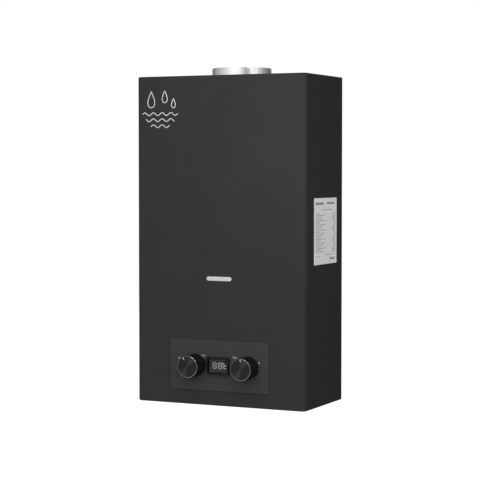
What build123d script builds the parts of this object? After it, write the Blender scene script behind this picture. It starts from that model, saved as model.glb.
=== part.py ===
"""Wall-hung tankless gas water heater: folded steel case, flue collar, burner, copper heat
exchanger, linked gas and water valves behind two front knobs, fittings and battery box below.

Millimetres. The origin is the middle of the rear face that lies on the wall.
+X is right as seen from the front, +Y points into the wall and +Z is up.
"""
import math
import os

from build123d import *

# Case
CASE_W = 340.0
CASE_H = 600.0
CASE_D = 172.0           # wall to the face of the front cover
SHEET = 1.0              # steel sheet of the cover
EDGE_R = 10.0            # upright front edges of the cover
FOLD_R = 2.5             # folds along the top and the bottom
COVER_FIT = 0.3          # the cover slides over the chassis with this gap
WALL_GAP = 0.6           # rear edge of the cover stands off the wall
PLATE_T = 1.0            # steel sheet of the chassis plates
PAN_DEPTH = 13.0         # depth of the folded rear pan
FLOOR_STRIP = 22.0       # front strip of the cover's floor
FLOOR_LIP = 9.0          # side strips of the cover's floor
FLOOR_SETBACK = 2.0      # bottom plate behind the inside of the cover
BEAD_X = 78.0            # pressed stiffening beads in the rear pan
BEAD_W = 12.0
BEAD_END = 88.0          # bead ends short of the pan's edge
BEAD_H = 3.0

# Wall fixings
WALL_HOLE_SPACING = 240.0
WALL_HOLE_R = 3.5
KEYHOLE_HEAD_R = 7.0
KEYHOLE_SLOT_R = 3.2
KEYHOLE_RISE = 14.0
WALL_ROW_IN = 45.0       # fixing rows from the top and bottom of the case

# Flue
FLUE_BACKSET = 10.0      # flue axis behind the middle of the case's depth
COLLAR_R = 55.0
COLLAR_T = 1.0
COLLAR_RISE = 16.0       # stands this far above the case
COLLAR_LIP = 4.0         # flange of the collar
SLOT_GAP = 3.0           # slot in the cover's top around the flange
TOP_PLATE_MARGIN = 30.0  # top plate beyond the slot on each side
TOP_PLATE_LAP = 5.0      # top plate in front of the slot

# Front panel, display and sight glass
PANEL_W = 198.0
PANEL_H = 92.8
PANEL_T = 2.2
PANEL_R = 2.0
PANEL_SOFT_R = 1.0
PANEL_RISE = 27.0        # lower edge of the panel above the bottom of the case
PEG_R = 2.3
PEG_L = 4.0
PEG_IN = 8.0             # pegs in from the panel's edges
PEG_FIT = 0.2
BEZEL_W = 44.0
BEZEL_H = 33.0
BEZEL_RISE = 8.0         # front of the bezel above the cover
BEZEL_LIP = 2.8
BEZEL_STEP = 0.8         # ledge that the lens rests on
NECK_IN = 0.8            # neck is this much smaller than the bezel all round
NECK_L = 6.0             # neck length behind the cover
LENS_T = 2.0
LENS_DROP = 0.6
LENS_FIT = 0.2
BOARD_W = 70.0
BOARD_H = 46.0
BOARD_T = 1.6
GLASS_W = 50.0
GLASS_H = 7.7
GLASS_RISE = 0.9
GLASS_DROP = 12.75       # window below the heat exchanger
GLASS_LIP = 2.0          # flange of the sight glass around its hole
GLASS_PLUG = 4.0         # depth of the glass behind the cover
LABEL_FRONT = 38.5       # side label behind the cover's face
LABEL_BACK = 27.5        # side label in front of the wall
LABEL_H = 120.0
LABEL_T = 0.3
LABEL_LIFT = 18.2        # middle of the label above the middle of the case

# Knobs and spindles
KNOB_PITCH = 106.4
KNOB_SHIFT = 7.0          # middle of the two knobs to the right of the panel's middle
KNOB_BASE_R = 20.6
KNOB_TOP_R = 20.0
KNOB_RISE = 37.4         # face of the knob above the cover
KNOB_GAP = 0.6           # knob over the panel
CAP_T = 3.0
CAP_EDGE = 1.0
CAP_SPIGOT_R = 8.0
CAP_SPIGOT_L = 2.5
POINTER_W = 1.5
POINTER_L = 6.0
POINTER_DEEP = 0.3
GAS_POINTER_DEG = -27.0
WATER_POINTER_DEG = 0.0
SPINDLE_R = 4.0
SPINDLE_FLAT = 1.0       # depth of the flat on the spindle's front length
SPINDLE_FLAT_L = 10.0
SPINDLE_WEB = 1.0        # knob wall left between spindle and cap
SPINDLE_ROOM = 3.0       # hole in the cover around the spindle
PLUG_R = 8.0             # rotating plug in each valve
PLUG_PORT_R = 5.0
RUN_FIT = 0.08           # radial running clearance
END_FIT = 0.5

# Valves
VALVE_GAP = 20.0         # valve axis behind the battery box
VALVE_HALF = 22.0        # half of the square valve section
BOSS_WALL = 5.0          # wall of the front boss around the plug
BOSS_L = 16.0
PORT_WALL = 6.0          # wall of the port bosses around their bore
PORT_BOSS_L = 5.0
PLUG_DEEP = 12.0         # plug bore runs this far behind the valve's axis
GLAND_WALL_R = 8.0       # gland ring around the spindle
GLAND_T = 5.0
GAS_FAR = 34.5           # gas valve from its knob axis to the solenoid's side
BORE_WALL = 3.5          # wall between the plug's bore and the poppet's
DIAPHRAGM_R = 28.0
DIAPHRAGM_T = 2.0
CHAMBER_WALL = 8.0       # ring of the chamber around its hollow
WATER_FLANGE_T = 7.0
WATER_NEAR = 16.0        # water valve from its flange to the knob axis
WATER_FAR = 46.5         # water valve from the knob axis to its outlet
COLD_OFFSET = 32.5       # cold inlet from the water knob's axis
DRAIN_OFFSET = -3.5      # drain plug from the water knob's axis
LID_T = 14.0             # cover of the diaphragm chamber
LID_WALL = 4.0
HUB_WALL = 5.0
HUB_L = 4.0
ROD_R = 3.0
ROD_TRAVEL = 5.0
PUSH_PLATE_GAP = 3.0     # push plate inside the chamber
PUSH_PLATE_T = 2.5
POPPET_R = 7.0
POPPET_T = 3.0
POPPET_ROOM = 2.0        # bore around the poppet
POPPET_BORE_L = 14.0
GLAND_WALL = 5.0
TRIP_R = 6.0
TRIP_L = 4.0
TRIP_GAP = 8.5           # trip collar from the gas valve
BRIDGE_RISE = 14.0
BRIDGE_T = 3.0
BRIDGE_W = 24.0
SWITCH_W = 20.0
SWITCH_L = 9.0
SWITCH_H = 13.0
LEVER_T = 1.2
LEVER_W = 6.0
LEVER_HUB_R = 2.2
LEVER_PIN_R = 1.0
LEVER_LIFT = 4.5         # lever pivot above the bridge
LEVER_GAP = 0.4
EAR_T = 1.3
EAR_GAP = 0.2
SPRING_WIRE_R = 0.6
SPRING_TURNS = 4
COIL_R = 17.0
COIL_ROOM = 4.0          # coil short of the hot outlet's neck
COIL_END = 1.5           # closed end of the coil's core
COIL_FLANGE_R = 19.0
COIL_FLANGE_T = 4.0
PLUNGER_R = 5.0
PLUNGER_TRAVEL = 4.0
PLUNGER_DISC_R = 9.0
PLUNGER_DISC_T = 4.0
PLUNGER_ROOM = 2.0       # bore around the plunger's disc
PLUNGER_BORE_L = 22.0

# Fittings below the case
THREAD_R = 10.48         # half inch pipe thread
THREAD_L = 12.5
THREAD_LEAD = 1.0        # chamfer at the thread's end
FITTING_HEX = 27.0       # across flats
HEX_T = 5.0
NECK_R = 10.0
FITTING_BORE_R = 6.5
FITTING_NECK_BORE_R = 5.0
NUT_T = 6.0
HOT_SIDE = 28.0          # hot outlet in from the side of the case
DRAIN_R = 6.0
DRAIN_GRIP_W = 24.0
DRAIN_GRIP_T = 5.0
DRAIN_GRIP_H = 11.0
DRAIN_WALL = 3.0         # boss around the drain plug

# Heat exchanger, burner and hood
JACKET_SIDE = 52.0       # jacket in from the side of the case
JACKET_STAND = 10.0      # jacket in front of the wall
JACKET_T = 1.0
FLAME_ROOM = 34.0        # burner tray to heat exchanger
FIN_PITCH = 8.0
FIN_EDGE = 12.0          # outer fins at least this far in from the sides
FIN_T = 0.6
FIN_H = 44.0
FIN_DROP = 4.0           # fins end this far below the top of the jacket
FIN_FIT = 0.1
TUBE_R = 7.5
TUBE_T = 1.0
TUBE_EDGE = 16.0         # outer passes in from the jacket's faces
TUBE_PASSES = 5
TUBE_OUT = 6.0           # straight length outside the jacket
RISER_SIDE = 16.0        # riser pipes in from the side of the case
RISER_TURN = 16.0        # pipe joint inside the riser
HOOD_H = 185.7           # hood from the jacket to the top plate's upper face
HOOD_SKIRT = 38.0
HOOD_SLOPE = 100.0
HOOD_T = 1.0
HOOD_LIP = 4.0           # top of the hood around its neck
SPILL_SIDE = 38.0        # spill slot in from the side of the hood
SPILL_H = 16.0
TRAY_INSET = 2.0         # tray smaller than the jacket all round
TRAY_H = 60.0
FEED_ROOM = 50.0         # gas valve to burner tray
TRAY_T = 1.0
BAR_PITCH = 20.0
BAR_EDGE = 15.0          # outer bars at least this far in from the sides
BAR_W = 9.0
BAR_T = 1.0
BAR_H = 54.0
BAR_PROUD = 6.0          # bars stand above the tray
BAR_SLOTS = 8
BAR_SLOT_W = 1.5
BAR_SLOT_L = 6.0
BAR_SLOT_DEEP = 6.0
VENTURI_R = 3.6
JET_RISE = 24.0          # jets above the bottom of the tray
JET_R = 3.0
JET_BORE_R = 0.75
JET_GAP = 1.0
MANIFOLD_SIDE = 14.0
MANIFOLD_BORE_R = 5.0
MANIFOLD_STAND = 7.0     # gap between manifold and tray
MANIFOLD_IN = 2.0        # manifold ends in from the side of the tray
MANIFOLD_EAR = 6.0
PIPE_R = 7.0
PIPE_T = 1.0
BEND_SHARE = 0.45        # share of a straight run that a bend may take
COLD_SHIFT = (0.4, 0.6)  # where the cold riser crosses over, as shares of its height
HOT_SHIFT = (0.5, 0.75)  # the same for the hot riser, from the top
BRACKET_W = 40.0
BRACKET_H = 20.0
BRACKET_T = 1.2
BRACKET_X = 40.0

# Electrodes and sensors
ELECTRODE_IN = (48.0, 18.0)  # electrodes in from the last burner bar
ELECTRODE_RISE = 16.0    # electrodes above the burner tray
ELECTRODE_R = 1.2
ELECTRODE_BEND = 2.4
ELECTRODE_REACH = 12.0   # wire beyond its sleeve
ELECTRODE_TIPS = (2.0, 4.0)  # tips above the burner bars
INSULATOR_R = 3.5
INSULATOR_L = 24.0
ELECTRODE_PLATE_T = 1.2
ELECTRODE_PLATE_W = 60.0
ELECTRODE_PLATE_LAP = 12.0   # bracket down the front of the tray
ELECTRODE_PLATE_TOP = 7.0    # bracket above the electrodes
SENSOR_R = 8.0
SENSOR_T = 7.0
SENSOR_X = 59.0
SENSOR_LIFT = 1.0
PROBE_R = 4.0
PROBE_OUT = 6.0          # probe in front of the outlet's neck

# Electrics
FRONT_ROOM = 21.0        # control and battery boxes behind the cover
BOX_SIDE = 15.0          # control box in from the side of the case
BOX_W = 60.0
BOX_D = 32.0
BOX_H = 100.0
BOX_SOFT_R = 3.0
BATTERY_SIDE = 20.0      # battery box in from the side of the case
BATTERY_WALL = 1.6
CELL_R = 16.5
CELL_L = 60.0
CELL_SIDE = 3.2          # room beside the cells
CELL_GAP = 0.4           # gap between the cells
CELL_LIFT = 0.7          # cells over the plate
CELL_HEAD = 2.7          # room above the cells
CELL_NIB_R = 4.5
CELL_NIB_L = 1.5
CONTACT_T = 1.9
CONTACT_W = 9.0
DOOR_T = 1.8
DOOR_LAP = 2.0
DOOR_GAP = 0.2
DOOR_TAB_W = 18.0
HINGE_R = 1.9
HINGE_PIN_R = 1.1
HINGE_HUB_L = 40.0
HINGE_EAR_L = 5.0
LEAD_R = 2.0
LEAD_STEP = 24.0         # spacing of the leads where they enter the control box

# Screws and vents
SCREW_X = 100.0
SCREW_SETBACK = 15.0     # behind the face of the cover
SCREW_R = 2.0
SCREW_HEAD_R = 4.2
SCREW_HEAD_T = 2.2
SCREW_EDGE = 0.7
SCREW_L = 8.0
SCREW_FIT = 0.3
VENT_COUNT = 11
VENT_PITCH = 14.0
VENT_W = 5.0
VENT_L = 12.0
COVER_VENT_L = 8.0
FLOOR_VENT_ROWS = (-34.0, -20.0)
FLOOR_VENT_X = 20.0
PAST = 5.0               # cutters run this far past the material

# Places of the case and its front
HALF_W = CASE_W / 2
HALF_H = CASE_H / 2
FACE_Y = -CASE_D
INNER_Y = FACE_Y + SHEET
PANEL_Y = FACE_Y - PANEL_T
PLATE_W = CASE_W - 2 * (SHEET + COVER_FIT)
PLATE_H = CASE_H - 2 * (SHEET + COVER_FIT)
BEAD_L = PLATE_H - 2 * BEAD_END
ROOF_Z = PLATE_H / 2 - PLATE_T            # underside of the pan's top flange
FLOOR_Z = -ROOF_Z                         # underside of the bottom plate
FLOOR_TOP = FLOOR_Z + PLATE_T
WALL_ROW_Z = HALF_H - WALL_ROW_IN
COVER_CUT_Y = FACE_Y + FLOOR_STRIP        # front end of the opening in the cover's floor
SCREW_Y = FACE_Y + SCREW_SETBACK
CONTROL_Z = -HALF_H + PANEL_RISE + PANEL_H / 2
GAS_AXIS = KNOB_SHIFT - KNOB_PITCH / 2
WATER_AXIS = KNOB_SHIFT + KNOB_PITCH / 2
KNOB_Y = FACE_Y - KNOB_RISE
CAP_Y = KNOB_Y + CAP_T
SPINDLE_END = CAP_Y + CAP_SPIGOT_L + SPINDLE_WEB

# Places of the flue
FLUE_Y = FLUE_BACKSET - CASE_D / 2
COLLAR_BORE_R = COLLAR_R - COLLAR_T
COLLAR_FLANGE_R = COLLAR_R + COLLAR_LIP
COVER_SLOT_R = COLLAR_FLANGE_R + SLOT_GAP
HOOD_TOP_W = 2 * (COLLAR_R + HOOD_LIP)

# Places of the battery and control boxes
BATTERY_W = 4 * CELL_R + CELL_GAP + 2 * (CELL_SIDE + BATTERY_WALL)
BATTERY_D = CELL_L + 2 * (CELL_NIB_L + CONTACT_T + BATTERY_WALL)
BATTERY_H = 2 * CELL_R + CELL_LIFT + CELL_HEAD + BATTERY_WALL
BATTERY_X = BATTERY_SIDE - HALF_W + BATTERY_W / 2
BATTERY_Y = INNER_Y + FRONT_ROOM + BATTERY_D / 2
BATTERY_XS = (BATTERY_X - BATTERY_W / 2, BATTERY_X + BATTERY_W / 2)
BATTERY_YS = (BATTERY_Y - BATTERY_D / 2, BATTERY_Y + BATTERY_D / 2)
HATCH_W = BATTERY_W - 2 * BATTERY_WALL - 2 * DOOR_LAP
HATCH_D = BATTERY_D - 2 * BATTERY_WALL - 2 * DOOR_LAP
DOOR_Z = (FLOOR_Z - DOOR_GAP - DOOR_T, FLOOR_Z - DOOR_GAP)
HINGE_Y = BATTERY_Y + HATCH_D / 2 + DOOR_LAP + HINGE_R
HINGE_Z = FLOOR_Z - DOOR_GAP - HINGE_R
BOX_X = (HALF_W - BOX_SIDE - BOX_W, HALF_W - BOX_SIDE)
BOX_Y = (INNER_Y + FRONT_ROOM, INNER_Y + FRONT_ROOM + BOX_D)

# Places along the valves, from the gas side to the water side
VALVE_Y = BATTERY_YS[1] + VALVE_GAP
VALVE_FRONT = VALVE_Y - VALVE_HALF
BOSS_FRONT = VALVE_FRONT - BOSS_L
BOSS_R = PLUG_R + BOSS_WALL
PORT_BOTTOM = CONTROL_Z - VALVE_HALF - PORT_BOSS_L
PORT_TOP = CONTROL_Z + VALVE_HALF + PORT_BOSS_L
PORT_R = PIPE_R - PIPE_T
PORT_BOSS_R = PORT_R + PORT_WALL
POPPET_BORE_X = GAS_AXIS + PLUG_R + BORE_WALL
POPPET_SEAT_X = POPPET_BORE_X + POPPET_BORE_L
GAS_X = (GAS_AXIS - GAS_FAR, POPPET_SEAT_X + GLAND_WALL)
SEAT_X = GAS_X[0] + PLUNGER_BORE_L        # seat that the solenoid's disc closes
COIL_X = GAS_X[0] - COIL_FLANGE_T         # coil starts behind its flange
COIL_L = COIL_X - (HOT_SIDE - HALF_W + NECK_R + COIL_ROOM)
PLUNGER_END = COIL_X - COIL_L + COIL_END + END_FIT + PLUNGER_TRAVEL
WATER_X = (WATER_AXIS - WATER_NEAR, WATER_AXIS + WATER_FAR)
DIAPHRAGM_X = WATER_X[0] - WATER_FLANGE_T - DIAPHRAGM_T
CHAMBER_R = DIAPHRAGM_R - CHAMBER_WALL
LID_X = DIAPHRAGM_X - LID_T
TRIP_X = (GAS_X[1] + TRIP_GAP, GAS_X[1] + TRIP_GAP + TRIP_L)
LEVER_X = TRIP_X[0] - LEVER_GAP - LEVER_T / 2
BRIDGE_TOP = CONTROL_Z + BRIDGE_RISE + BRIDGE_T
LEVER_Z = BRIDGE_TOP + LEVER_LIFT
COLD_X = WATER_AXIS + COLD_OFFSET
DRAIN_X = WATER_AXIS + DRAIN_OFFSET
HOT_X = HOT_SIDE - HALF_W
HEX_BOTTOM = FLOOR_Z - HEX_T

# Places of the heat exchanger and the burner
JACKET_W = CASE_W - 2 * JACKET_SIDE
JACKET_D = 2 * (-FLUE_Y - JACKET_STAND)
JACKET_BACK = FLUE_Y + JACKET_D / 2
JACKET_FRONT = FLUE_Y - JACKET_D / 2
TRAY_W = JACKET_W - 2 * TRAY_INSET
TRAY_D = JACKET_D - 2 * TRAY_INSET
TRAY_BACK = FLUE_Y + TRAY_D / 2
TRAY_FRONT = FLUE_Y - TRAY_D / 2
TRAY_Z = (PORT_TOP + FEED_ROOM, PORT_TOP + FEED_ROOM + TRAY_H)
BAR_Z = (TRAY_Z[1] + BAR_PROUD - BAR_H, TRAY_Z[1] + BAR_PROUD)
JET_Z = TRAY_Z[0] + JET_RISE
JACKET_Z = (TRAY_Z[1] + FLAME_ROOM, ROOF_Z - HOOD_H)
GLASS_Z = JACKET_Z[0] - GLASS_DROP
FIN_Z = (JACKET_Z[1] - FIN_DROP - FIN_H, JACKET_Z[1] - FIN_DROP)
FIN_COUNT = int((JACKET_W - 2 * FIN_EDGE) / FIN_PITCH) + 1
FIN_X = [FIN_PITCH * (k - (FIN_COUNT - 1) / 2) for k in range(FIN_COUNT)]
RISER_X = HALF_W - RISER_SIDE
TUBE_END = RISER_X - RISER_TURN           # where the pipes join
TUBE_STRAIGHT = JACKET_W / 2 + TUBE_OUT   # half length of a pass
TUBE_PITCH = (JACKET_D - 2 * TUBE_EDGE) / (TUBE_PASSES - 1)
TUBE_Z = (FIN_Z[0] + FIN_Z[1]) / 2
TUBE_Y = [FLUE_Y + TUBE_PITCH * ((TUBE_PASSES - 1) / 2 - k) for k in range(TUBE_PASSES)]
MANIFOLD_L = TRAY_W - 2 * MANIFOLD_IN
MANIFOLD_BACK = TRAY_FRONT - MANIFOLD_STAND
MANIFOLD_Y = MANIFOLD_BACK - MANIFOLD_SIDE / 2
BAR_COUNT = int((TRAY_W - 2 * BAR_EDGE) / BAR_PITCH) + 1
BAR_X = [BAR_PITCH * (k - (BAR_COUNT - 1) / 2) for k in range(BAR_COUNT)]
ELECTRODE_X = [BAR_X[-1] - step for step in ELECTRODE_IN]
ELECTRODE_Z = TRAY_Z[1] + ELECTRODE_RISE


def block(xs, ys, zs):
    """Box between three pairs of limits."""
    centre = [(pair[0] + pair[1]) / 2 for pair in (xs, ys, zs)]
    size = [abs(pair[1] - pair[0]) for pair in (xs, ys, zs)]
    return Pos(*centre) * Box(*size)


def rod_x(xs, y, z, r):
    """Round bar along X."""
    return Pos((xs[0] + xs[1]) / 2, y, z) * Rot(0, 90, 0) * Cylinder(r, abs(xs[1] - xs[0]))


def rod_y(x, ys, z, r):
    """Round bar along Y."""
    return Pos(x, (ys[0] + ys[1]) / 2, z) * Rot(90, 0, 0) * Cylinder(r, abs(ys[1] - ys[0]))


def rod_z(x, y, zs, r):
    """Round bar along Z."""
    return Pos(x, y, (zs[0] + zs[1]) / 2) * Cylinder(r, abs(zs[1] - zs[0]))


def upright(sketch, ys):
    """Sketch drawn in X and Z, made solid between two places in Y."""
    return Pos(0, max(ys), 0) * extrude(Plane.XZ * sketch, amount=abs(ys[1] - ys[0]))


def level(sketch, zs):
    """Sketch drawn in X and Y, made solid between two heights."""
    return Pos(0, 0, min(zs)) * extrude(sketch, amount=abs(zs[1] - zs[0]))


def group(pieces):
    """Separate solids that share one node."""
    return Compound([solid for piece in pieces for solid in piece.solids()])


def pipe(points, r_out, r_in=0.0, bend=None):
    """Round tube along straight runs joined by tangent arcs, as large as the runs allow."""
    vectors = [Vector(*p) for p in points]
    radii = []
    for before, here, after in zip(vectors, vectors[1:], vectors[2:]):
        turn = math.radians((here - before).get_angle(after - here))
        shorter = min((here - before).length, (after - here).length)
        largest = BEND_SHARE * shorter / math.tan(turn / 2)
        radii.append(min(largest, bend) if bend else largest)
    path = FilletPolyline(*points, radius=radii)
    ring = Circle(r_out) - Circle(r_in) if r_in else Circle(r_out)
    solid = sweep(Plane(path @ 0, z_dir=path % 0) * ring, path=path)
    ideal = math.pi * (r_out**2 - r_in**2) * path.length
    share = solid.volume / ideal
    print(f"  tube {path.length:.0f} mm, tightest bend {min(radii):.1f}, volume {share:.4f} of ideal")
    return solid


def spring(x0, x1, r):
    """Compression spring along X between two faces, on the valves' axis."""
    length = x1 - x0 - 2 * (SPRING_WIRE_R + RUN_FIT)
    helix = Helix(pitch=length / SPRING_TURNS, height=length, radius=r)
    coil = sweep(Plane(helix @ 0, z_dir=helix % 0) * Circle(SPRING_WIRE_R), path=helix, is_frenet=True)
    return Pos(x0 + SPRING_WIRE_R + RUN_FIT, VALVE_Y, CONTROL_Z) * Rot(0, 90, 0) * coil


def case_block(grow, rear):
    """Outline of the cover, taken in by grow, with its rounded front edges and folds."""
    body = block((-HALF_W + grow, HALF_W - grow), (FACE_Y + grow, rear), (-HALF_H + grow, HALF_H - grow))
    body = fillet(body.edges().filter_by(Axis.Z).group_by(Axis.Y)[0], EDGE_R - grow)
    rims = [body.faces().sort_by(Axis.Z)[i].edges().sort_by(Axis.Y)[:-1] for i in (0, -1)]
    return fillet(rims[0] + rims[1], FOLD_R - grow)


def front_cover():
    shell = case_block(0.0, -WALL_GAP) - case_block(SHEET, PAST)
    through = (FACE_Y - PAST, INNER_Y + PAST)
    holes = [rod_y(x, through, CONTROL_Z, SPINDLE_R + SPINDLE_ROOM) for x in (GAS_AXIS, WATER_AXIS)]
    holes += [rod_y(x, through, z, PEG_R + PEG_FIT) for x, z in peg_places()]
    neck = Rectangle(BEZEL_W - 2 * NECK_IN + 2 * LENS_FIT, BEZEL_H - 2 * NECK_IN + 2 * LENS_FIT)
    holes.append(upright(Pos(0, CONTROL_Z) * neck, through))
    window = SlotOverall(GLASS_W - 2 * GLASS_LIP, GLASS_H - 2 * GLASS_LIP)
    holes.append(upright(Pos(0, GLASS_Z) * window, through))
    roof = (HALF_H - SHEET - PAST, HALF_H + PAST)
    holes.append(rod_z(0, FLUE_Y, roof, COVER_SLOT_R))
    holes.append(block((-COVER_SLOT_R, COVER_SLOT_R), (FLUE_Y, PAST), roof))
    floor = (-HALF_H - PAST, -HALF_H + SHEET + PAST)
    side = HALF_W - FLOOR_LIP
    holes.append(block((-side, side), (COVER_CUT_Y, PAST), floor))
    holes += [rod_z(s * SCREW_X, SCREW_Y, floor, SCREW_R + SCREW_FIT) for s in (-1, 1)]
    vent = SlotOverall(COVER_VENT_L, VENT_W, rotation=90)
    vents = [Pos(VENT_PITCH * (k - (VENT_COUNT - 1) / 2), SCREW_Y) * vent for k in range(VENT_COUNT)]
    holes += [level(v, floor) for v in vents]
    return shell - holes


def peg_places():
    """Where the panel's four pegs go through the cover."""
    x = PANEL_W / 2 - PEG_IN
    z = PANEL_H / 2 - PEG_IN
    return [(sx * x, CONTROL_Z + sz * z) for sx in (-1, 1) for sz in (-1, 1)]


def back_plate():
    outer = block((-PLATE_W / 2, PLATE_W / 2), (-PAN_DEPTH, 0), (-PLATE_H / 2, PLATE_H / 2))
    outer = fillet(outer.edges().filter_by(Axis.Y), FOLD_R)
    inner = block(
        (-PLATE_W / 2 + PLATE_T, PLATE_W / 2 - PLATE_T),
        (-PAN_DEPTH - PAST, -PLATE_T),
        (-PLATE_H / 2 + PLATE_T, PLATE_H / 2 - PLATE_T),
    )
    pan = outer - inner
    for side in (-1, 1):
        bead = SlotOverall(BEAD_L, BEAD_W, rotation=90)
        hollow = SlotOverall(BEAD_L - 2 * PLATE_T, BEAD_W - 2 * PLATE_T, rotation=90)
        pan += upright(Pos(side * BEAD_X, 0) * bead, (-BEAD_H - PLATE_T, -PLATE_T))
        pan -= upright(Pos(side * BEAD_X, 0) * hollow, (-BEAD_H, PAST))
    through = (-PLATE_T - PAST, PAST)
    for side in (-1, 1):
        x = side * WALL_HOLE_SPACING / 2
        pan -= rod_y(x, through, -WALL_ROW_Z, WALL_HOLE_R)
        pan -= rod_y(x, through, WALL_ROW_Z - KEYHOLE_RISE, KEYHOLE_HEAD_R)
        pan -= rod_y(x, through, WALL_ROW_Z, KEYHOLE_SLOT_R)
        neck = (x - KEYHOLE_SLOT_R, x + KEYHOLE_SLOT_R)
        pan -= block(neck, through, (WALL_ROW_Z - KEYHOLE_RISE, WALL_ROW_Z))
    return pan - rod_z(0, FLUE_Y, (ROOF_Z, HALF_H), COVER_SLOT_R)


def top_plate():
    side = COVER_SLOT_R + TOP_PLATE_MARGIN
    front = FLUE_Y - COVER_SLOT_R - TOP_PLATE_LAP
    sheet = block((-side, side), (front, -PLATE_T), (ROOF_Z - PLATE_T, ROOF_Z))
    return sheet - rod_z(0, FLUE_Y, (ROOF_Z - PAST, ROOF_Z + PAST), COLLAR_BORE_R)


def bottom_plate():
    side = PLATE_W / 2 - PLATE_T
    sheet = block((-side, side), (INNER_Y + FLOOR_SETBACK, -PLATE_T), (FLOOR_Z, FLOOR_TOP))
    sheet = fillet(sheet.edges().filter_by(Axis.Z).group_by(Axis.Y)[0], EDGE_R)
    through = (FLOOR_Z - PAST, FLOOR_TOP + PAST)
    cuts = [rod_z(x, VALVE_Y, through, NECK_R) for x in (GAS_AXIS, COLD_X, HOT_X)]
    cuts.append(rod_z(DRAIN_X, VALVE_Y, through, DRAIN_R + RUN_FIT))
    cuts += [rod_z(s * SCREW_X, SCREW_Y, through, SCREW_R) for s in (-1, 1)]
    cuts.append(Pos(BATTERY_X, BATTERY_Y, FLOOR_Z) * Box(HATCH_W, HATCH_D, 2 * PAST))
    vent = SlotOverall(VENT_L, VENT_W, rotation=90)
    for k in range(VENT_COUNT):
        x = FLOOR_VENT_X + VENT_PITCH * (k - (VENT_COUNT - 1) / 2)
        cuts += [level(Pos(x, y) * vent, through) for y in FLOOR_VENT_ROWS]
    plate = sheet - cuts
    for xs in hinge_ears():
        ear = rod_x(xs, HINGE_Y, HINGE_Z, HINGE_R)
        ear += block(xs, (HINGE_Y - HINGE_R, HINGE_Y + HINGE_R), (HINGE_Z, FLOOR_Z))
        plate += ear - rod_x((xs[0] - PAST, xs[1] + PAST), HINGE_Y, HINGE_Z, HINGE_PIN_R)
    return plate


def hinge_ears():
    """X limits of the two ears that hold the battery door's pin."""
    inner = HINGE_HUB_L / 2 + DOOR_GAP
    outer = inner + HINGE_EAR_L
    return [(BATTERY_X - outer, BATTERY_X - inner), (BATTERY_X + inner, BATTERY_X + outer)]


def cover_screws():
    screws = []
    for side in (-1, 1):
        head = rod_z(side * SCREW_X, SCREW_Y, (-HALF_H - SCREW_HEAD_T, -HALF_H), SCREW_HEAD_R)
        head = chamfer(head.edges().group_by(Axis.Z)[0], SCREW_EDGE)
        screws.append(head + rod_z(side * SCREW_X, SCREW_Y, (-HALF_H, -HALF_H + SCREW_L), SCREW_R))
    return group(screws)


def control_panel():
    plate = upright(Pos(0, CONTROL_Z) * RectangleRounded(PANEL_W, PANEL_H, PANEL_R), (PANEL_Y, FACE_Y))
    plate = fillet(plate.faces().sort_by(Axis.Y)[0].edges(), PANEL_SOFT_R)
    through = (PANEL_Y - PAST, FACE_Y + PAST)
    holes = [rod_y(x, through, CONTROL_Z, SPINDLE_R + SPINDLE_ROOM) for x in (GAS_AXIS, WATER_AXIS)]
    neck = Rectangle(BEZEL_W - 2 * NECK_IN + 2 * LENS_FIT, BEZEL_H - 2 * NECK_IN + 2 * LENS_FIT)
    holes.append(upright(Pos(0, CONTROL_Z) * neck, through))
    plate -= holes
    for x, z in peg_places():
        plate += rod_y(x, (FACE_Y, INNER_Y + PEG_L), z, PEG_R)
    return plate


def display_bezel():
    front = FACE_Y - BEZEL_RISE
    rear = INNER_Y + NECK_L
    frame = upright(Pos(0, CONTROL_Z) * RectangleRounded(BEZEL_W, BEZEL_H, PANEL_R), (front, PANEL_Y))
    frame = fillet(frame.faces().sort_by(Axis.Y)[0].edges(), PANEL_SOFT_R)
    neck = Rectangle(BEZEL_W - 2 * NECK_IN, BEZEL_H - 2 * NECK_IN)
    frame += upright(Pos(0, CONTROL_Z) * neck, (PANEL_Y, rear))
    pocket = Rectangle(BEZEL_W - 2 * BEZEL_LIP, BEZEL_H - 2 * BEZEL_LIP)
    ledge = 2 * (BEZEL_LIP + BEZEL_STEP)
    frame -= upright(Pos(0, CONTROL_Z) * Rectangle(BEZEL_W - ledge, BEZEL_H - ledge), (front, rear + PAST))
    frame -= upright(Pos(0, CONTROL_Z) * pocket, (front - PAST, front + LENS_DROP + LENS_T))
    return frame


def display_lens():
    front = FACE_Y - BEZEL_RISE + LENS_DROP
    pane = Rectangle(BEZEL_W - 2 * (BEZEL_LIP + LENS_FIT), BEZEL_H - 2 * (BEZEL_LIP + LENS_FIT))
    return upright(Pos(0, CONTROL_Z) * pane, (front, front + LENS_T))


def display_board():
    rear = INNER_Y + NECK_L
    board = upright(Pos(0, CONTROL_Z) * Rectangle(BOARD_W, BOARD_H), (rear, rear + BOARD_T))
    ledge = 2 * (BEZEL_LIP + BEZEL_STEP + LENS_FIT)
    module = Rectangle(BEZEL_W - ledge, BEZEL_H - ledge)
    front = FACE_Y - BEZEL_RISE + LENS_DROP + LENS_T + END_FIT
    return board + upright(Pos(0, CONTROL_Z) * module, (front, rear))


def sight_glass():
    flange = upright(Pos(0, GLASS_Z) * SlotOverall(GLASS_W, GLASS_H), (FACE_Y - GLASS_RISE, FACE_Y))
    flange = fillet(flange.faces().sort_by(Axis.Y)[0].edges(), GLASS_RISE / 2)
    plug = SlotOverall(GLASS_W - 2 * GLASS_LIP, GLASS_H - 2 * GLASS_LIP)
    return flange + upright(Pos(0, GLASS_Z) * plug, (FACE_Y, INNER_Y + GLASS_PLUG))


def rating_label():
    heights = (LABEL_LIFT - LABEL_H / 2, LABEL_LIFT + LABEL_H / 2)
    return block((HALF_W, HALF_W + LABEL_T), (FACE_Y + LABEL_FRONT, -LABEL_BACK), heights)


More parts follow.
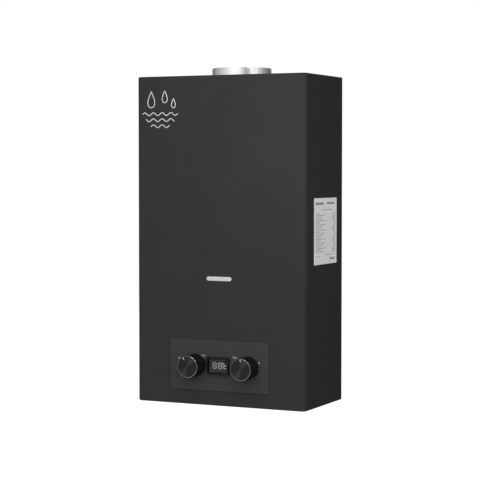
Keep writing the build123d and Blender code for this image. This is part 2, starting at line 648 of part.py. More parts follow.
def d_bar(x, ys, flat_to):
    """Round spindle with a flat on its front length."""
    bar = rod_y(x, ys, CONTROL_Z, SPINDLE_R)
    flat = block((x - SPINDLE_R, x + SPINDLE_R), (ys[0] - PAST, flat_to),
                 (CONTROL_Z + SPINDLE_R - SPINDLE_FLAT, CONTROL_Z + SPINDLE_R + PAST))
    return bar - flat


def knob_barrel(x):
    rear = PANEL_Y - KNOB_GAP
    depth = rear - CAP_Y
    barrel = Pos(x, (rear + CAP_Y) / 2, CONTROL_Z) * Rot(90, 0, 0) * Cone(KNOB_BASE_R, KNOB_TOP_R, depth)
    barrel = fillet(barrel.edges().sort_by(Axis.Y)[-1:], PANEL_SOFT_R)
    barrel -= rod_y(x, (CAP_Y - PAST, CAP_Y + CAP_SPIGOT_L), CONTROL_Z, CAP_SPIGOT_R)
    return barrel - d_bar(x, (SPINDLE_END, rear + PAST), SPINDLE_END + SPINDLE_FLAT_L)


def knob_cap(x, pointer_deg):
    disc = rod_y(0, (KNOB_Y, CAP_Y), 0, KNOB_TOP_R)
    disc = chamfer(disc.edges().sort_by(Axis.Y)[:1], CAP_EDGE)
    disc += rod_y(0, (CAP_Y, CAP_Y + CAP_SPIGOT_L), 0, CAP_SPIGOT_R)
    tip = KNOB_TOP_R - CAP_EDGE
    half = POINTER_W / 2
    disc -= block((-half, half), (KNOB_Y - PAST, KNOB_Y + POINTER_DEEP), (tip - POINTER_L, tip))
    return Pos(x, 0, CONTROL_Z) * Rot(0, pointer_deg, 0) * disc


def spindle(x):
    """Knob spindle and the ported plug that it turns in the valve."""
    rear = VALVE_Y + PLUG_DEEP - END_FIT
    shoulder = BOSS_FRONT + END_FIT
    plug = rod_y(x, (shoulder, rear), CONTROL_Z, PLUG_R - RUN_FIT)
    plug -= rod_z(x, VALVE_Y, (CONTROL_Z - PLUG_R - PAST, CONTROL_Z + PLUG_R + PAST), PLUG_PORT_R)
    return plug + d_bar(x, (SPINDLE_END, shoulder), SPINDLE_END + SPINDLE_FLAT_L)


def spindle_glands():
    rings = []
    for x in (GAS_AXIS, WATER_AXIS):
        ys = (BOSS_FRONT - GLAND_T, BOSS_FRONT)
        ring = rod_y(x, ys, CONTROL_Z, SPINDLE_R + GLAND_WALL_R)
        rings.append(ring - rod_y(x, (ys[0] - PAST, ys[1] + PAST), CONTROL_Z, SPINDLE_R + RUN_FIT))
    return group(rings)


def flue_collar():
    tube = rod_z(0, FLUE_Y, (ROOF_Z, HALF_H + COLLAR_RISE), COLLAR_R)
    tube += rod_z(0, FLUE_Y, (ROOF_Z, ROOF_Z + PLATE_T), COLLAR_FLANGE_R)
    return tube - rod_z(0, FLUE_Y, (ROOF_Z - PAST, HALF_H + COLLAR_RISE + PAST), COLLAR_BORE_R)


def frustum(lower, upper, zs):
    """Four-sided taper between two rectangles on the flue's axis."""
    ends = [Pos(0, FLUE_Y, z) * Rectangle(*size) for z, size in zip(zs, (lower, upper))]
    return loft(ends, ruled=True)


def draft_hood():
    z0 = JACKET_Z[1]
    z1 = z0 + HOOD_SKIRT
    z2 = z1 + HOOD_SLOPE
    top = ROOF_Z - PLATE_T
    inner_w = JACKET_W - 2 * HOOD_T
    inner_d = JACKET_D - 2 * HOOD_T
    top_in = HOOD_TOP_W - 2 * HOOD_T
    depth = (JACKET_FRONT, JACKET_BACK)
    hood = block((-JACKET_W / 2, JACKET_W / 2), depth, (z0, z1))
    hood += frustum((JACKET_W, JACKET_D), (HOOD_TOP_W, HOOD_TOP_W), (z1, z2))
    hood += Pos(0, FLUE_Y, z2 + HOOD_T / 2) * Box(HOOD_TOP_W, HOOD_TOP_W, HOOD_T)
    hood += rod_z(0, FLUE_Y, (z2, top), COLLAR_R)
    hood += rod_z(0, FLUE_Y, (top - HOOD_T, top), COLLAR_FLANGE_R)
    hood -= Pos(0, FLUE_Y, (z0 + z1) / 2) * Box(inner_w, inner_d, z1 - z0)
    hood -= frustum((inner_w, inner_d), (top_in, top_in), (z1, z2))
    hood -= rod_z(0, FLUE_Y, (z2 - HOOD_T, top + PAST), COLLAR_BORE_R)
    spill_z = (z1 - SPILL_H - HOOD_T, z1 - HOOD_T)
    spill_x = (SPILL_SIDE - JACKET_W / 2, JACKET_W / 2 - SPILL_SIDE)
    return hood - block(spill_x, (JACKET_FRONT - PAST, JACKET_FRONT + PAST), spill_z)


def heat_exchanger_jacket():
    jacket = block((-JACKET_W / 2, JACKET_W / 2), (JACKET_FRONT, JACKET_BACK), JACKET_Z)
    jacket -= block(
        (-JACKET_W / 2 + JACKET_T, JACKET_W / 2 - JACKET_T),
        (JACKET_FRONT + JACKET_T, JACKET_BACK - JACKET_T),
        (JACKET_Z[0] - PAST, JACKET_Z[1] + PAST),
    )
    across = (-JACKET_W / 2 - PAST, JACKET_W / 2 + PAST)
    return jacket - [rod_x(across, y, TUBE_Z, TUBE_R) for y in TUBE_Y]


def heat_exchanger_fins():
    ys = (JACKET_FRONT + JACKET_T, JACKET_BACK - JACKET_T)
    fin = block((-FIN_T / 2, FIN_T / 2), ys, FIN_Z)
    fin -= [rod_x((-FIN_T, FIN_T), y, TUBE_Z, TUBE_R + FIN_FIT) for y in TUBE_Y]
    return group([Pos(x, 0, 0) * fin for x in FIN_X])


def heat_exchanger_tube():
    """One tube that crosses the fins back and forth, with half-round return bends."""
    bend_r = TUBE_PITCH / 2
    lines = []
    side = -1
    start = (TUBE_END, TUBE_Y[0], TUBE_Z)
    for k, y in enumerate(TUBE_Y):
        last = k == TUBE_PASSES - 1
        end = (side * (TUBE_END if last else TUBE_STRAIGHT), y, TUBE_Z)
        lines.append(Line(start, end))
        if not last:
            crown = (side * (TUBE_STRAIGHT + bend_r), y - bend_r, TUBE_Z)
            start = (side * TUBE_STRAIGHT, y - TUBE_PITCH, TUBE_Z)
            lines.append(ThreePointArc(end, crown, start))
        side = -side
    path = Wire(lines)
    ring = Circle(TUBE_R) - Circle(TUBE_R - TUBE_T)
    return sweep(Plane(path @ 0, z_dir=path % 0) * ring, path=path)


def hat(x, z, front):
    """Folded bracket between the rear pan and the piece that it carries."""
    zs = (z - BRACKET_H / 2, z + BRACKET_H / 2)
    xs = (x - BRACKET_W / 2, x + BRACKET_W / 2)
    hollow = block((xs[0] - PAST, xs[1] + PAST), (front + BRACKET_T, -PLATE_T - BRACKET_T),
                   (zs[0] + BRACKET_T, zs[1] - BRACKET_T))
    return block(xs, (front, -PLATE_T), zs) - hollow


def mounting_brackets():
    jacket_mid = (JACKET_Z[0] + FIN_Z[0]) / 2
    spread = (FIN_Z[0] - JACKET_Z[0]) / 4
    tray_mid = (TRAY_Z[0] + TRAY_Z[1]) / 2
    hats = []
    for x in (-BRACKET_X, BRACKET_X):
        hats += [hat(x, jacket_mid + step, JACKET_BACK) for step in (-spread, spread)]
        hats.append(hat(x, tray_mid, TRAY_BACK))
    return group(hats)


def burner_tray():
    tray = block((-TRAY_W / 2, TRAY_W / 2), (TRAY_FRONT, TRAY_BACK), TRAY_Z)
    tray -= block(
        (-TRAY_W / 2 + TRAY_T, TRAY_W / 2 - TRAY_T),
        (TRAY_FRONT + TRAY_T, TRAY_BACK - TRAY_T),
        (TRAY_Z[0] - PAST, TRAY_Z[1] + PAST),
    )
    jets = (TRAY_FRONT - PAST, TRAY_FRONT + TRAY_T + PAST)
    return tray - [rod_y(x, jets, JET_Z, VENTURI_R) for x in BAR_X]


def burner_bars():
    ys = (TRAY_FRONT + TRAY_T, TRAY_BACK - TRAY_T)
    bar = block((-BAR_W / 2, BAR_W / 2), ys, BAR_Z)
    bar -= block(
        (-BAR_W / 2 + BAR_T, BAR_W / 2 - BAR_T),
        (ys[0] + BAR_T, ys[1] - BAR_T),
        (BAR_Z[0] + BAR_T, BAR_Z[1] - BAR_T),
    )
    pitch = (ys[1] - ys[0]) / BAR_SLOTS
    slot = (BAR_Z[1] - BAR_SLOT_DEEP, BAR_Z[1] + PAST)
    cuts = [block((-BAR_SLOT_L / 2, BAR_SLOT_L / 2), (y - BAR_SLOT_W / 2, y + BAR_SLOT_W / 2), slot)
            for y in (ys[0] + pitch * (k + 0.5) for k in range(BAR_SLOTS))]
    cuts.append(rod_y(0, (ys[0] - PAST, ys[0] + 2 * BAR_T), JET_Z, VENTURI_R))
    bar -= cuts
    return group([Pos(x, 0, 0) * bar for x in BAR_X])


def gas_manifold():
    half = MANIFOLD_SIDE / 2
    ends = (-MANIFOLD_L / 2, MANIFOLD_L / 2)
    bar = block(ends, (MANIFOLD_BACK - MANIFOLD_SIDE, MANIFOLD_BACK), (JET_Z - half, JET_Z + half))
    bore = MANIFOLD_L / 2 - MANIFOLD_EAR
    bar -= rod_x((-bore, bore), MANIFOLD_Y, JET_Z, MANIFOLD_BORE_R)
    bar -= rod_z(GAS_AXIS, MANIFOLD_Y, (JET_Z - half - PAST, JET_Z), PIPE_R - PIPE_T)
    for x in (ends[0], ends[1] - MANIFOLD_EAR):
        bar += block((x, x + MANIFOLD_EAR), (MANIFOLD_BACK, TRAY_FRONT), (JET_Z - half, JET_Z + half))
    return bar


def gas_nozzles():
    ys = (MANIFOLD_BACK, TRAY_FRONT - JET_GAP)
    bore = (ys[0] - PAST, ys[1] + PAST)
    return group([rod_y(x, ys, JET_Z, JET_R) - rod_y(x, bore, JET_Z, JET_BORE_R) for x in BAR_X])


def gas_feed_pipe():
    mid = (PORT_TOP + TRAY_Z[0]) / 2
    points = [
        (GAS_AXIS, VALVE_Y, PORT_TOP),
        (GAS_AXIS, VALVE_Y, mid),
        (GAS_AXIS, MANIFOLD_Y, mid),
        (GAS_AXIS, MANIFOLD_Y, JET_Z - MANIFOLD_SIDE / 2),
    ]
    return pipe(points, PIPE_R, PIPE_R - PIPE_T)


def electrode_bracket():
    mid = sum(ELECTRODE_X) / 2
    xs = (mid - ELECTRODE_PLATE_W / 2, mid + ELECTRODE_PLATE_W / 2)
    ys = (TRAY_FRONT - ELECTRODE_PLATE_T, TRAY_FRONT)
    plate = block(xs, ys, (TRAY_Z[1] - ELECTRODE_PLATE_LAP, ELECTRODE_Z + ELECTRODE_PLATE_TOP))
    through = (ys[0] - PAST, ys[1] + PAST)
    return plate - [rod_y(x, through, ELECTRODE_Z, INSULATOR_R) for x in ELECTRODE_X]


def insulator_span():
    """Y limits of the ceramic sleeves, half on each side of their bracket."""
    mid = TRAY_FRONT - ELECTRODE_PLATE_T / 2
    return (mid - INSULATOR_L / 2, mid + INSULATOR_L / 2)


def electrode_insulators():
    ys = insulator_span()
    bore = (ys[0] - PAST, ys[1] + PAST)
    return group([rod_y(x, ys, ELECTRODE_Z, INSULATOR_R) - rod_y(x, bore, ELECTRODE_Z, ELECTRODE_R)
                  for x in ELECTRODE_X])


def electrode(x, tip_z):
    """Wire that runs through its ceramic sleeve and turns towards the flame."""
    front, rear = insulator_span()
    reach = rear + ELECTRODE_REACH
    points = [(x, front - END_FIT, ELECTRODE_Z), (x, reach, ELECTRODE_Z), (x, reach, tip_z)]
    return pipe(points, ELECTRODE_R, bend=ELECTRODE_BEND)


def valve_core(xs, plug_x):
    """Square valve section with the front boss for its plug."""
    zs = (CONTROL_Z - VALVE_HALF, CONTROL_Z + VALVE_HALF)
    core = block(xs, (VALVE_FRONT, VALVE_Y + VALVE_HALF), zs)
    return core + rod_y(plug_x, (BOSS_FRONT, VALVE_FRONT), CONTROL_Z, BOSS_R)


def plug_bore(x):
    return rod_y(x, (BOSS_FRONT - PAST, VALVE_Y + PLUG_DEEP), CONTROL_Z, PLUG_R)


def gas_valve_body():
    body = valve_core(GAS_X, GAS_AXIS)
    body += rod_z(GAS_AXIS, VALVE_Y, (PORT_BOTTOM, PORT_TOP), PORT_BOSS_R)
    body -= plug_bore(GAS_AXIS)
    body -= rod_z(GAS_AXIS, VALVE_Y, (PORT_BOTTOM - PAST, PORT_TOP + PAST), PORT_R)
    body -= rod_x((POPPET_SEAT_X, GAS_X[1] + PAST), VALVE_Y, CONTROL_Z, ROD_R + RUN_FIT)
    body -= rod_x((POPPET_BORE_X, POPPET_SEAT_X), VALVE_Y, CONTROL_Z, POPPET_R + POPPET_ROOM)
    body -= rod_x((GAS_X[0] - PAST, SEAT_X), VALVE_Y, CONTROL_Z, PLUNGER_DISC_R + PLUNGER_ROOM)
    return body - rod_x((SEAT_X - PAST, POPPET_BORE_X + PAST), VALVE_Y, CONTROL_Z, ROD_R)


def solenoid_coil():
    coil = rod_x((COIL_X, GAS_X[0]), VALVE_Y, CONTROL_Z, COIL_FLANGE_R)
    coil += rod_x((COIL_X - COIL_L, COIL_X), VALVE_Y, CONTROL_Z, COIL_R)
    core = (COIL_X - COIL_L + COIL_END, GAS_X[0] + PAST)
    return coil - rod_x(core, VALVE_Y, CONTROL_Z, PLUNGER_R + RUN_FIT)


def solenoid_plunger():
    disc = (SEAT_X - PLUNGER_DISC_T, SEAT_X)
    plunger = rod_x(disc, VALVE_Y, CONTROL_Z, PLUNGER_DISC_R)
    return plunger + rod_x((PLUNGER_END, disc[0]), VALVE_Y, CONTROL_Z, PLUNGER_R)


def solenoid_spring():
    return spring(GAS_X[0], SEAT_X - PLUNGER_DISC_T, PLUNGER_DISC_R - 2 * SPRING_WIRE_R)


def water_valve_body():
    body = valve_core(WATER_X, WATER_AXIS)
    flange_x = DIAPHRAGM_X + DIAPHRAGM_T
    body += rod_x((flange_x, WATER_X[0]), VALVE_Y, CONTROL_Z, DIAPHRAGM_R)
    body += rod_z(COLD_X, VALVE_Y, (PORT_BOTTOM, CONTROL_Z), PORT_BOSS_R)
    body += rod_z(DRAIN_X, VALVE_Y, (PORT_BOTTOM, CONTROL_Z), DRAIN_R + DRAIN_WALL)
    body += rod_x((WATER_X[1], WATER_X[1] + PORT_BOSS_L), VALVE_Y, CONTROL_Z, PORT_BOSS_R)
    body -= rod_x((flange_x - PAST, WATER_X[0]), VALVE_Y, CONTROL_Z, CHAMBER_R)
    body -= plug_bore(WATER_AXIS)
    passage = (flange_x, WATER_X[1] + PORT_BOSS_L + PAST)
    body -= rod_x(passage, VALVE_Y, CONTROL_Z, PORT_R)
    return body - rod_z(COLD_X, VALVE_Y, (PORT_BOTTOM - PAST, CONTROL_Z), FITTING_NECK_BORE_R)


def water_valve_cover():
    """Cover of the diaphragm chamber, with the bridge that ties it to the gas valve."""
    lid = rod_x((LID_X, DIAPHRAGM_X), VALVE_Y, CONTROL_Z, DIAPHRAGM_R)
    lid += rod_x((LID_X - HUB_L, LID_X), VALVE_Y, CONTROL_Z, ROD_R + HUB_WALL)
    bridge_y = (VALVE_Y - BRIDGE_W / 2, VALVE_Y + BRIDGE_W / 2)
    lid += block((GAS_X[1], LID_X), bridge_y, (BRIDGE_TOP - BRIDGE_T, BRIDGE_TOP))
    lid -= rod_x((LID_X + LID_WALL, DIAPHRAGM_X + PAST), VALVE_Y, CONTROL_Z, CHAMBER_R)
    lid -= rod_x((LID_X - HUB_L - PAST, DIAPHRAGM_X), VALVE_Y, CONTROL_Z, ROD_R + RUN_FIT)
    slot_x = (LEVER_X - LEVER_T - ROD_TRAVEL, LEVER_X + LEVER_T / 2 + END_FIT)
    slot_y = (VALVE_Y - LEVER_W / 2 - END_FIT, VALVE_Y + LEVER_W / 2 + END_FIT)
    return lid - block(slot_x, slot_y, (BRIDGE_TOP - BRIDGE_T - PAST, BRIDGE_TOP + PAST))


def diaphragm():
    return rod_x((DIAPHRAGM_X, DIAPHRAGM_X + DIAPHRAGM_T), VALVE_Y, CONTROL_Z, DIAPHRAGM_R)


def push_rod():
    """Plate on the diaphragm, rod, trip collar and gas poppet in one piece."""
    plate = (DIAPHRAGM_X - PUSH_PLATE_T, DIAPHRAGM_X)
    rod = rod_x((POPPET_SEAT_X, DIAPHRAGM_X), VALVE_Y, CONTROL_Z, ROD_R)
    rod += rod_x(plate, VALVE_Y, CONTROL_Z, CHAMBER_R - PUSH_PLATE_GAP)
    rod += rod_x(TRIP_X, VALVE_Y, CONTROL_Z, TRIP_R)
    return rod + rod_x((POPPET_SEAT_X - POPPET_T, POPPET_SEAT_X), VALVE_Y, CONTROL_Z, POPPET_R)


def push_rod_spring():
    return spring(POPPET_BORE_X, POPPET_SEAT_X - POPPET_T, POPPET_R - 3 * SPRING_WIRE_R)


def microswitch():
    body_x = (LID_X - SWITCH_L, LID_X)
    body_y = (VALVE_Y - SWITCH_W / 2, VALVE_Y + SWITCH_W / 2)
    body = block(body_x, body_y, (BRIDGE_TOP, BRIDGE_TOP + SWITCH_H))
    for side in (-1, 1):
        inner = VALVE_Y + side * (LEVER_W / 2 + EAR_GAP)
        ear_y = sorted((inner, inner + side * EAR_T))
        ear_z = (LEVER_Z - LEVER_HUB_R, LEVER_Z + LEVER_HUB_R)
        body += block((LEVER_X - LEVER_HUB_R, body_x[0]), ear_y, ear_z)
    span = LEVER_W / 2 + EAR_GAP
    return body + rod_y(LEVER_X, (VALVE_Y - span, VALVE_Y + span), LEVER_Z, LEVER_PIN_R)


def microswitch_lever():
    ys = (VALVE_Y - LEVER_W / 2, VALVE_Y + LEVER_W / 2)
    lever = rod_y(LEVER_X, ys, LEVER_Z, LEVER_HUB_R)
    blade = (LEVER_X - LEVER_T / 2, LEVER_X + LEVER_T / 2)
    lever += block(blade, ys, (CONTROL_Z + ROD_R + END_FIT, LEVER_Z))
    return lever - rod_y(LEVER_X, (ys[0] - PAST, ys[1] + PAST), LEVER_Z, LEVER_PIN_R + RUN_FIT)


def fitting(x, top):
    """Threaded union below the bottom plate, with a hexagon under it and a neck above."""
    hexagon = RegularPolygon(FITTING_HEX / 2, 6, major_radius=False)
    body = level(Pos(x, VALVE_Y) * hexagon, (HEX_BOTTOM, FLOOR_Z))
    stub = rod_z(x, VALVE_Y, (HEX_BOTTOM - THREAD_L, HEX_BOTTOM), THREAD_R)
    body += chamfer(stub.edges().group_by(Axis.Z)[0], THREAD_LEAD)
    body += rod_z(x, VALVE_Y, (FLOOR_Z, top), NECK_R)
    body -= rod_z(x, VALVE_Y, (HEX_BOTTOM - THREAD_L - PAST, HEX_BOTTOM), FITTING_BORE_R)
    return body - rod_z(x, VALVE_Y, (HEX_BOTTOM - PAST, top + PAST), FITTING_NECK_BORE_R)


def hot_outlet_fitting():
    body = fitting(HOT_X, PORT_BOTTOM)
    probe_z = (FLOOR_TOP + NUT_T + PORT_BOTTOM) / 2
    return body - rod_y(HOT_X, (VALVE_Y - NECK_R - PAST, VALVE_Y), probe_z, PROBE_R)


def locknuts():
    nuts = []
    for x in (GAS_AXIS, COLD_X, HOT_X):
        hexagon = RegularPolygon(FITTING_HEX / 2, 6, major_radius=False) - Circle(NECK_R)
        nuts.append(level(Pos(x, VALVE_Y) * hexagon, (FLOOR_TOP, FLOOR_TOP + NUT_T)))
    return group(nuts)


def cold_pipe():
    lift = TUBE_Z - CONTROL_Z
    points = [
        (WATER_X[1] + PORT_BOSS_L, VALVE_Y, CONTROL_Z),
        (RISER_X, VALVE_Y, CONTROL_Z),
        (RISER_X, VALVE_Y, CONTROL_Z + COLD_SHIFT[0] * lift),
        (RISER_X, TUBE_Y[0], CONTROL_Z + COLD_SHIFT[1] * lift),
        (RISER_X, TUBE_Y[0], TUBE_Z),
        (TUBE_END, TUBE_Y[0], TUBE_Z),
    ]
    return pipe(points, PIPE_R, PIPE_R - PIPE_T)


def hot_pipe():
    drop = TUBE_Z - PORT_BOTTOM
    points = [
        (-TUBE_END, TUBE_Y[-1], TUBE_Z),
        (-RISER_X, TUBE_Y[-1], TUBE_Z),
        (-RISER_X, TUBE_Y[-1], TUBE_Z - HOT_SHIFT[0] * drop),
        (HOT_X, VALVE_Y, TUBE_Z - HOT_SHIFT[1] * drop),
        (HOT_X, VALVE_Y, PORT_BOTTOM),
    ]
    return pipe(points, PIPE_R, PIPE_R - PIPE_T)


def temperature_sensors():
    """Outlet probe, overheat cut-out on the jacket and spill cut-out on the hood."""
    probe_z = (FLOOR_TOP + NUT_T + PORT_BOTTOM) / 2
    probe = rod_y(HOT_X, (VALVE_Y - NECK_R - PROBE_OUT, VALVE_Y - FITTING_NECK_BORE_R), probe_z, PROBE_R)
    ys = (JACKET_FRONT - SENSOR_T, JACKET_FRONT)
    overheat = rod_y(SENSOR_X, ys, TUBE_Z, SENSOR_R)
    spill = rod_y(-SENSOR_X, ys, JACKET_Z[1] + SENSOR_LIFT + SENSOR_R, SENSOR_R)
    return group([probe, overheat, spill])


def control_box():
    body = block(BOX_X, BOX_Y, (FLOOR_TOP, FLOOR_TOP + BOX_H))
    return fillet(body.edges().filter_by(Axis.Z), BOX_SOFT_R)


def battery_box():
    heights = (FLOOR_TOP, FLOOR_TOP + BATTERY_H)
    inner_x = (BATTERY_XS[0] + BATTERY_WALL, BATTERY_XS[1] - BATTERY_WALL)
    inner_y = (BATTERY_YS[0] + BATTERY_WALL, BATTERY_YS[1] - BATTERY_WALL)
    inner = block(inner_x, inner_y, (heights[0] - PAST, heights[1] - BATTERY_WALL))
    return block(BATTERY_XS, BATTERY_YS, heights) - inner


def cell_places():
    """X of the two cells, side by side in the box."""
    return (BATTERY_X - CELL_R - CELL_GAP / 2, BATTERY_X + CELL_R + CELL_GAP / 2)


def battery_cells():
    z = FLOOR_TOP + CELL_LIFT + CELL_R
    y = (BATTERY_Y - CELL_L / 2, BATTERY_Y + CELL_L / 2)
    cells = []
    for x, side in zip(cell_places(), (-1, 1)):
        nib = (y[0] - CELL_NIB_L, y[0]) if side < 0 else (y[1], y[1] + CELL_NIB_L)
        cells.append(rod_y(x, y, z, CELL_R) + rod_y(x, nib, z, CELL_NIB_R))
    return group(cells)


def battery_contacts():
    z = FLOOR_TOP + CELL_LIFT + CELL_R
    ends = (BATTERY_YS[0] + BATTERY_WALL, BATTERY_YS[1] - BATTERY_WALL)
    blocks = []
    for x, side in zip(cell_places(), (-1, 1)):
        for sign, wall in zip((-1, 1), ends):
            face = BATTERY_Y + sign * (CELL_L / 2 + (CELL_NIB_L if sign == side else 0.0))
            limits = sorted((face, wall))
            half = CONTACT_W / 2
            blocks.append(block((x - half, x + half), limits, (z - half, z + half)))
    return group(blocks)


def battery_door():
    half_w = HATCH_W / 2 + DOOR_LAP
    front = BATTERY_Y - HATCH_D / 2 - DOOR_LAP
    hub_x = (BATTERY_X - HINGE_HUB_L / 2, BATTERY_X + HINGE_HUB_L / 2)
    door = block((BATTERY_X - half_w, BATTERY_X + half_w), (front, HINGE_Y - HINGE_R - END_FIT), DOOR_Z)
    door += block(hub_x, (HINGE_Y - HINGE_R - PAST, HINGE_Y), DOOR_Z)
    door += rod_x(hub_x, HINGE_Y, HINGE_Z, HINGE_R)
    tab = (BATTERY_X - DOOR_TAB_W / 2, BATTERY_X + DOOR_TAB_W / 2)
    door += block(tab, (front, front + DOOR_T), (DOOR_Z[0] - DOOR_T, DOOR_Z[1]))
    return door - rod_x((hub_x[0] - PAST, hub_x[1] + PAST), HINGE_Y, HINGE_Z, HINGE_PIN_R + RUN_FIT)


def battery_door_pin():
    ears = hinge_ears()
    return rod_x((ears[0][0], ears[1][1]), HINGE_Y, HINGE_Z, HINGE_PIN_R)


def drain_plug():
    grip = (FLOOR_Z - END_FIT - DRAIN_GRIP_H, FLOOR_Z - END_FIT)
    plug = rod_z(DRAIN_X, VALVE_Y, (grip[0], PORT_BOTTOM), DRAIN_R)
    wing = Pos(DRAIN_X, VALVE_Y) * RectangleRounded(DRAIN_GRIP_W, DRAIN_GRIP_T, DRAIN_GRIP_T / 3)
    return plug + level(wing, grip)


def wiring_leads():
    """Leads from the electrodes, display, cells and flow switch to the control box."""
    top = FLOOR_TOP + BOX_H
    box_y = (BOX_Y[0] + BOX_Y[1]) / 2
    near = INNER_Y + 3 * LEAD_R
    leads = []
    for k, x in enumerate(ELECTRODE_X):
        end_x = BOX_X[0] + LEAD_STEP * (k + 1)
        leads.append(pipe([
            (x, insulator_span()[0] - END_FIT, ELECTRODE_Z),
            (x, near, ELECTRODE_Z),
            (end_x, near, ELECTRODE_Z - LEAD_STEP),
            (end_x, near, top + 3 * LEAD_STEP),
            (end_x, box_y, top + LEAD_STEP),
            (end_x, box_y, top),
        ], LEAD_R))
    board_y = INNER_Y + NECK_L + BOARD_T
    board_x = BOARD_W / 2 - 2 * LEAD_R
    board_z = CONTROL_Z - BOARD_H / 3
    leads.append(pipe([
        (board_x, board_y, board_z),
        (board_x, box_y, board_z),
        (BOX_X[0], box_y, board_z),
    ], LEAD_R))
    low = FLOOR_TOP + BATTERY_H / 2
    leads.append(pipe([
        (BATTERY_XS[1], BATTERY_Y, low),
        (BATTERY_XS[1] + LEAD_STEP, BATTERY_Y, low),
        (0.0, BATTERY_Y, low - LEAD_STEP / 2),
        (BOX_X[0] - LEAD_STEP, box_y, low),
        (BOX_X[0], box_y, low),
    ], LEAD_R))
    switch_x = LID_X - SWITCH_L / 2
    switch_z = BRIDGE_TOP + SWITCH_H / 2
    box_rear = BOX_Y[1] - LEAD_STEP / 2
    leads.append(pipe([
        (switch_x, VALVE_Y - SWITCH_W / 2, switch_z),
        (switch_x, box_rear, switch_z),
        (BOX_X[0], box_rear, switch_z),
    ], LEAD_R))
    return group(leads)


NODES = {
    "front_cover": front_cover,
    "back_plate": back_plate,
    "top_plate": top_plate,
    "bottom_plate": bottom_plate,
    "cover_screws": cover_screws,
    "control_panel": control_panel,
    "display_bezel": display_bezel,
    "display_lens": display_lens,
    "display_board": display_board,
    "sight_glass": sight_glass,
    "rating_label": rating_label,
    "gas_knob_barrel": lambda: knob_barrel(GAS_AXIS),
    "gas_knob_cap": lambda: knob_cap(GAS_AXIS, GAS_POINTER_DEG),
    "gas_spindle": lambda: spindle(GAS_AXIS),
    "water_knob_barrel": lambda: knob_barrel(WATER_AXIS),
    "water_knob_cap": lambda: knob_cap(WATER_AXIS, WATER_POINTER_DEG),
    "water_spindle": lambda: spindle(WATER_AXIS),
    "spindle_glands": spindle_glands,
    "flue_collar": flue_collar,
    "draft_hood": draft_hood,
    "heat_exchanger_jacket": heat_exchanger_jacket,
    "heat_exchanger_fins": heat_exchanger_fins,
    "heat_exchanger_tube": heat_exchanger_tube,
    "mounting_brackets": mounting_brackets,
    "burner_tray": burner_tray,
    "burner_bars": burner_bars,
    "gas_manifold": gas_manifold,
    "gas_nozzles": gas_nozzles,
    "gas_feed_pipe": gas_feed_pipe,
    "electrode_bracket": electrode_bracket,
    "electrode_insulators": electrode_insulators,
    "flame_sensor": lambda: electrode(ELECTRODE_X[0], BAR_Z[1] + ELECTRODE_TIPS[0]),
    "ignition_electrode": lambda: electrode(ELECTRODE_X[1], BAR_Z[1] + ELECTRODE_TIPS[1]),
    "gas_valve_body": gas_valve_body,
    "solenoid_coil": solenoid_coil,
    "solenoid_plunger": solenoid_plunger,
    "solenoid_spring": solenoid_spring,
    "water_valve_body": water_valve_body,
    "water_valve_cover": water_valve_cover,
    "diaphragm": diaphragm,
    "push_rod": push_rod,
    "push_rod_spring": push_rod_spring,
    "microswitch": microswitch,
    "microswitch_lever": microswitch_lever,
    "gas_inlet_fitting": lambda: fitting(GAS_AXIS, PORT_BOTTOM),
    "cold_inlet_fitting": lambda: fitting(COLD_X, PORT_BOTTOM),
    "hot_outlet_fitting": hot_outlet_fitting,
    "locknuts": locknuts,
    "cold_pipe": cold_pipe,
    "hot_pipe": hot_pipe,
    "temperature_sensors": temperature_sensors,
    "control_box": control_box,
    "battery_box": battery_box,
    "battery_cells": battery_cells,
    "battery_contacts": battery_contacts,
    "battery_door": battery_door,
    "battery_door_pin": battery_door_pin,
    "drain_plug": drain_plug,
    "wiring_leads": wiring_leads,
}


def main():
    os.makedirs("parts", exist_ok=True)
    for name, make in NODES.items():
        export_step(make(), f"parts/{name}.step")


main()
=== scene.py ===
import bmesh
import bpy
import numpy as np
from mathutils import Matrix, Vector


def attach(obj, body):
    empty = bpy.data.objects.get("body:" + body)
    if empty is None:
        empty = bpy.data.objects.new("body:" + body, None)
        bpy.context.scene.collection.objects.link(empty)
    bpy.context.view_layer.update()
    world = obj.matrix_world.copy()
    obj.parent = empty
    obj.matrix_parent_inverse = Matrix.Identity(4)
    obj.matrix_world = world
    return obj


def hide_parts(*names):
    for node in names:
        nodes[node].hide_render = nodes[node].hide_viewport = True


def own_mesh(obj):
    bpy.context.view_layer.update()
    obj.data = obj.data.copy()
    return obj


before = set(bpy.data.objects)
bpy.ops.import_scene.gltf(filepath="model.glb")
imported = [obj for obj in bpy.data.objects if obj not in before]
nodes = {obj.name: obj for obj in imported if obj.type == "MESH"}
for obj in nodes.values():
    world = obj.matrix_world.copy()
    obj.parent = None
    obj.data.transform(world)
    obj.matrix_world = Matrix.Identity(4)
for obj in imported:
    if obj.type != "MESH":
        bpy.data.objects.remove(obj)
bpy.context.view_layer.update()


# Rear pan, chassis plates, brackets and hood
# Folded one-millimetre steel sheet, zinc coated by dipping, with dull and bright crystal flakes.
# The pan hangs on the wall; the plates, brackets and hood are spot welded or screwed to it.
MM = 0.001
ZINC_NODES = ("back_plate", "top_plate", "bottom_plate", "mounting_brackets", "draft_hood",
              "electrode_bracket")
ZINC_DULL = (0.34, 0.35, 0.37)
ZINC_BRIGHT = (0.60, 0.61, 0.62)
ZINC_FLAKE = 7.0
ZINC_STAIN = 60.0
STAIN_SHARE = 0.5
ZINC_ROUGH = (0.32, 0.52)
ZINC_RELIEF = 0.01


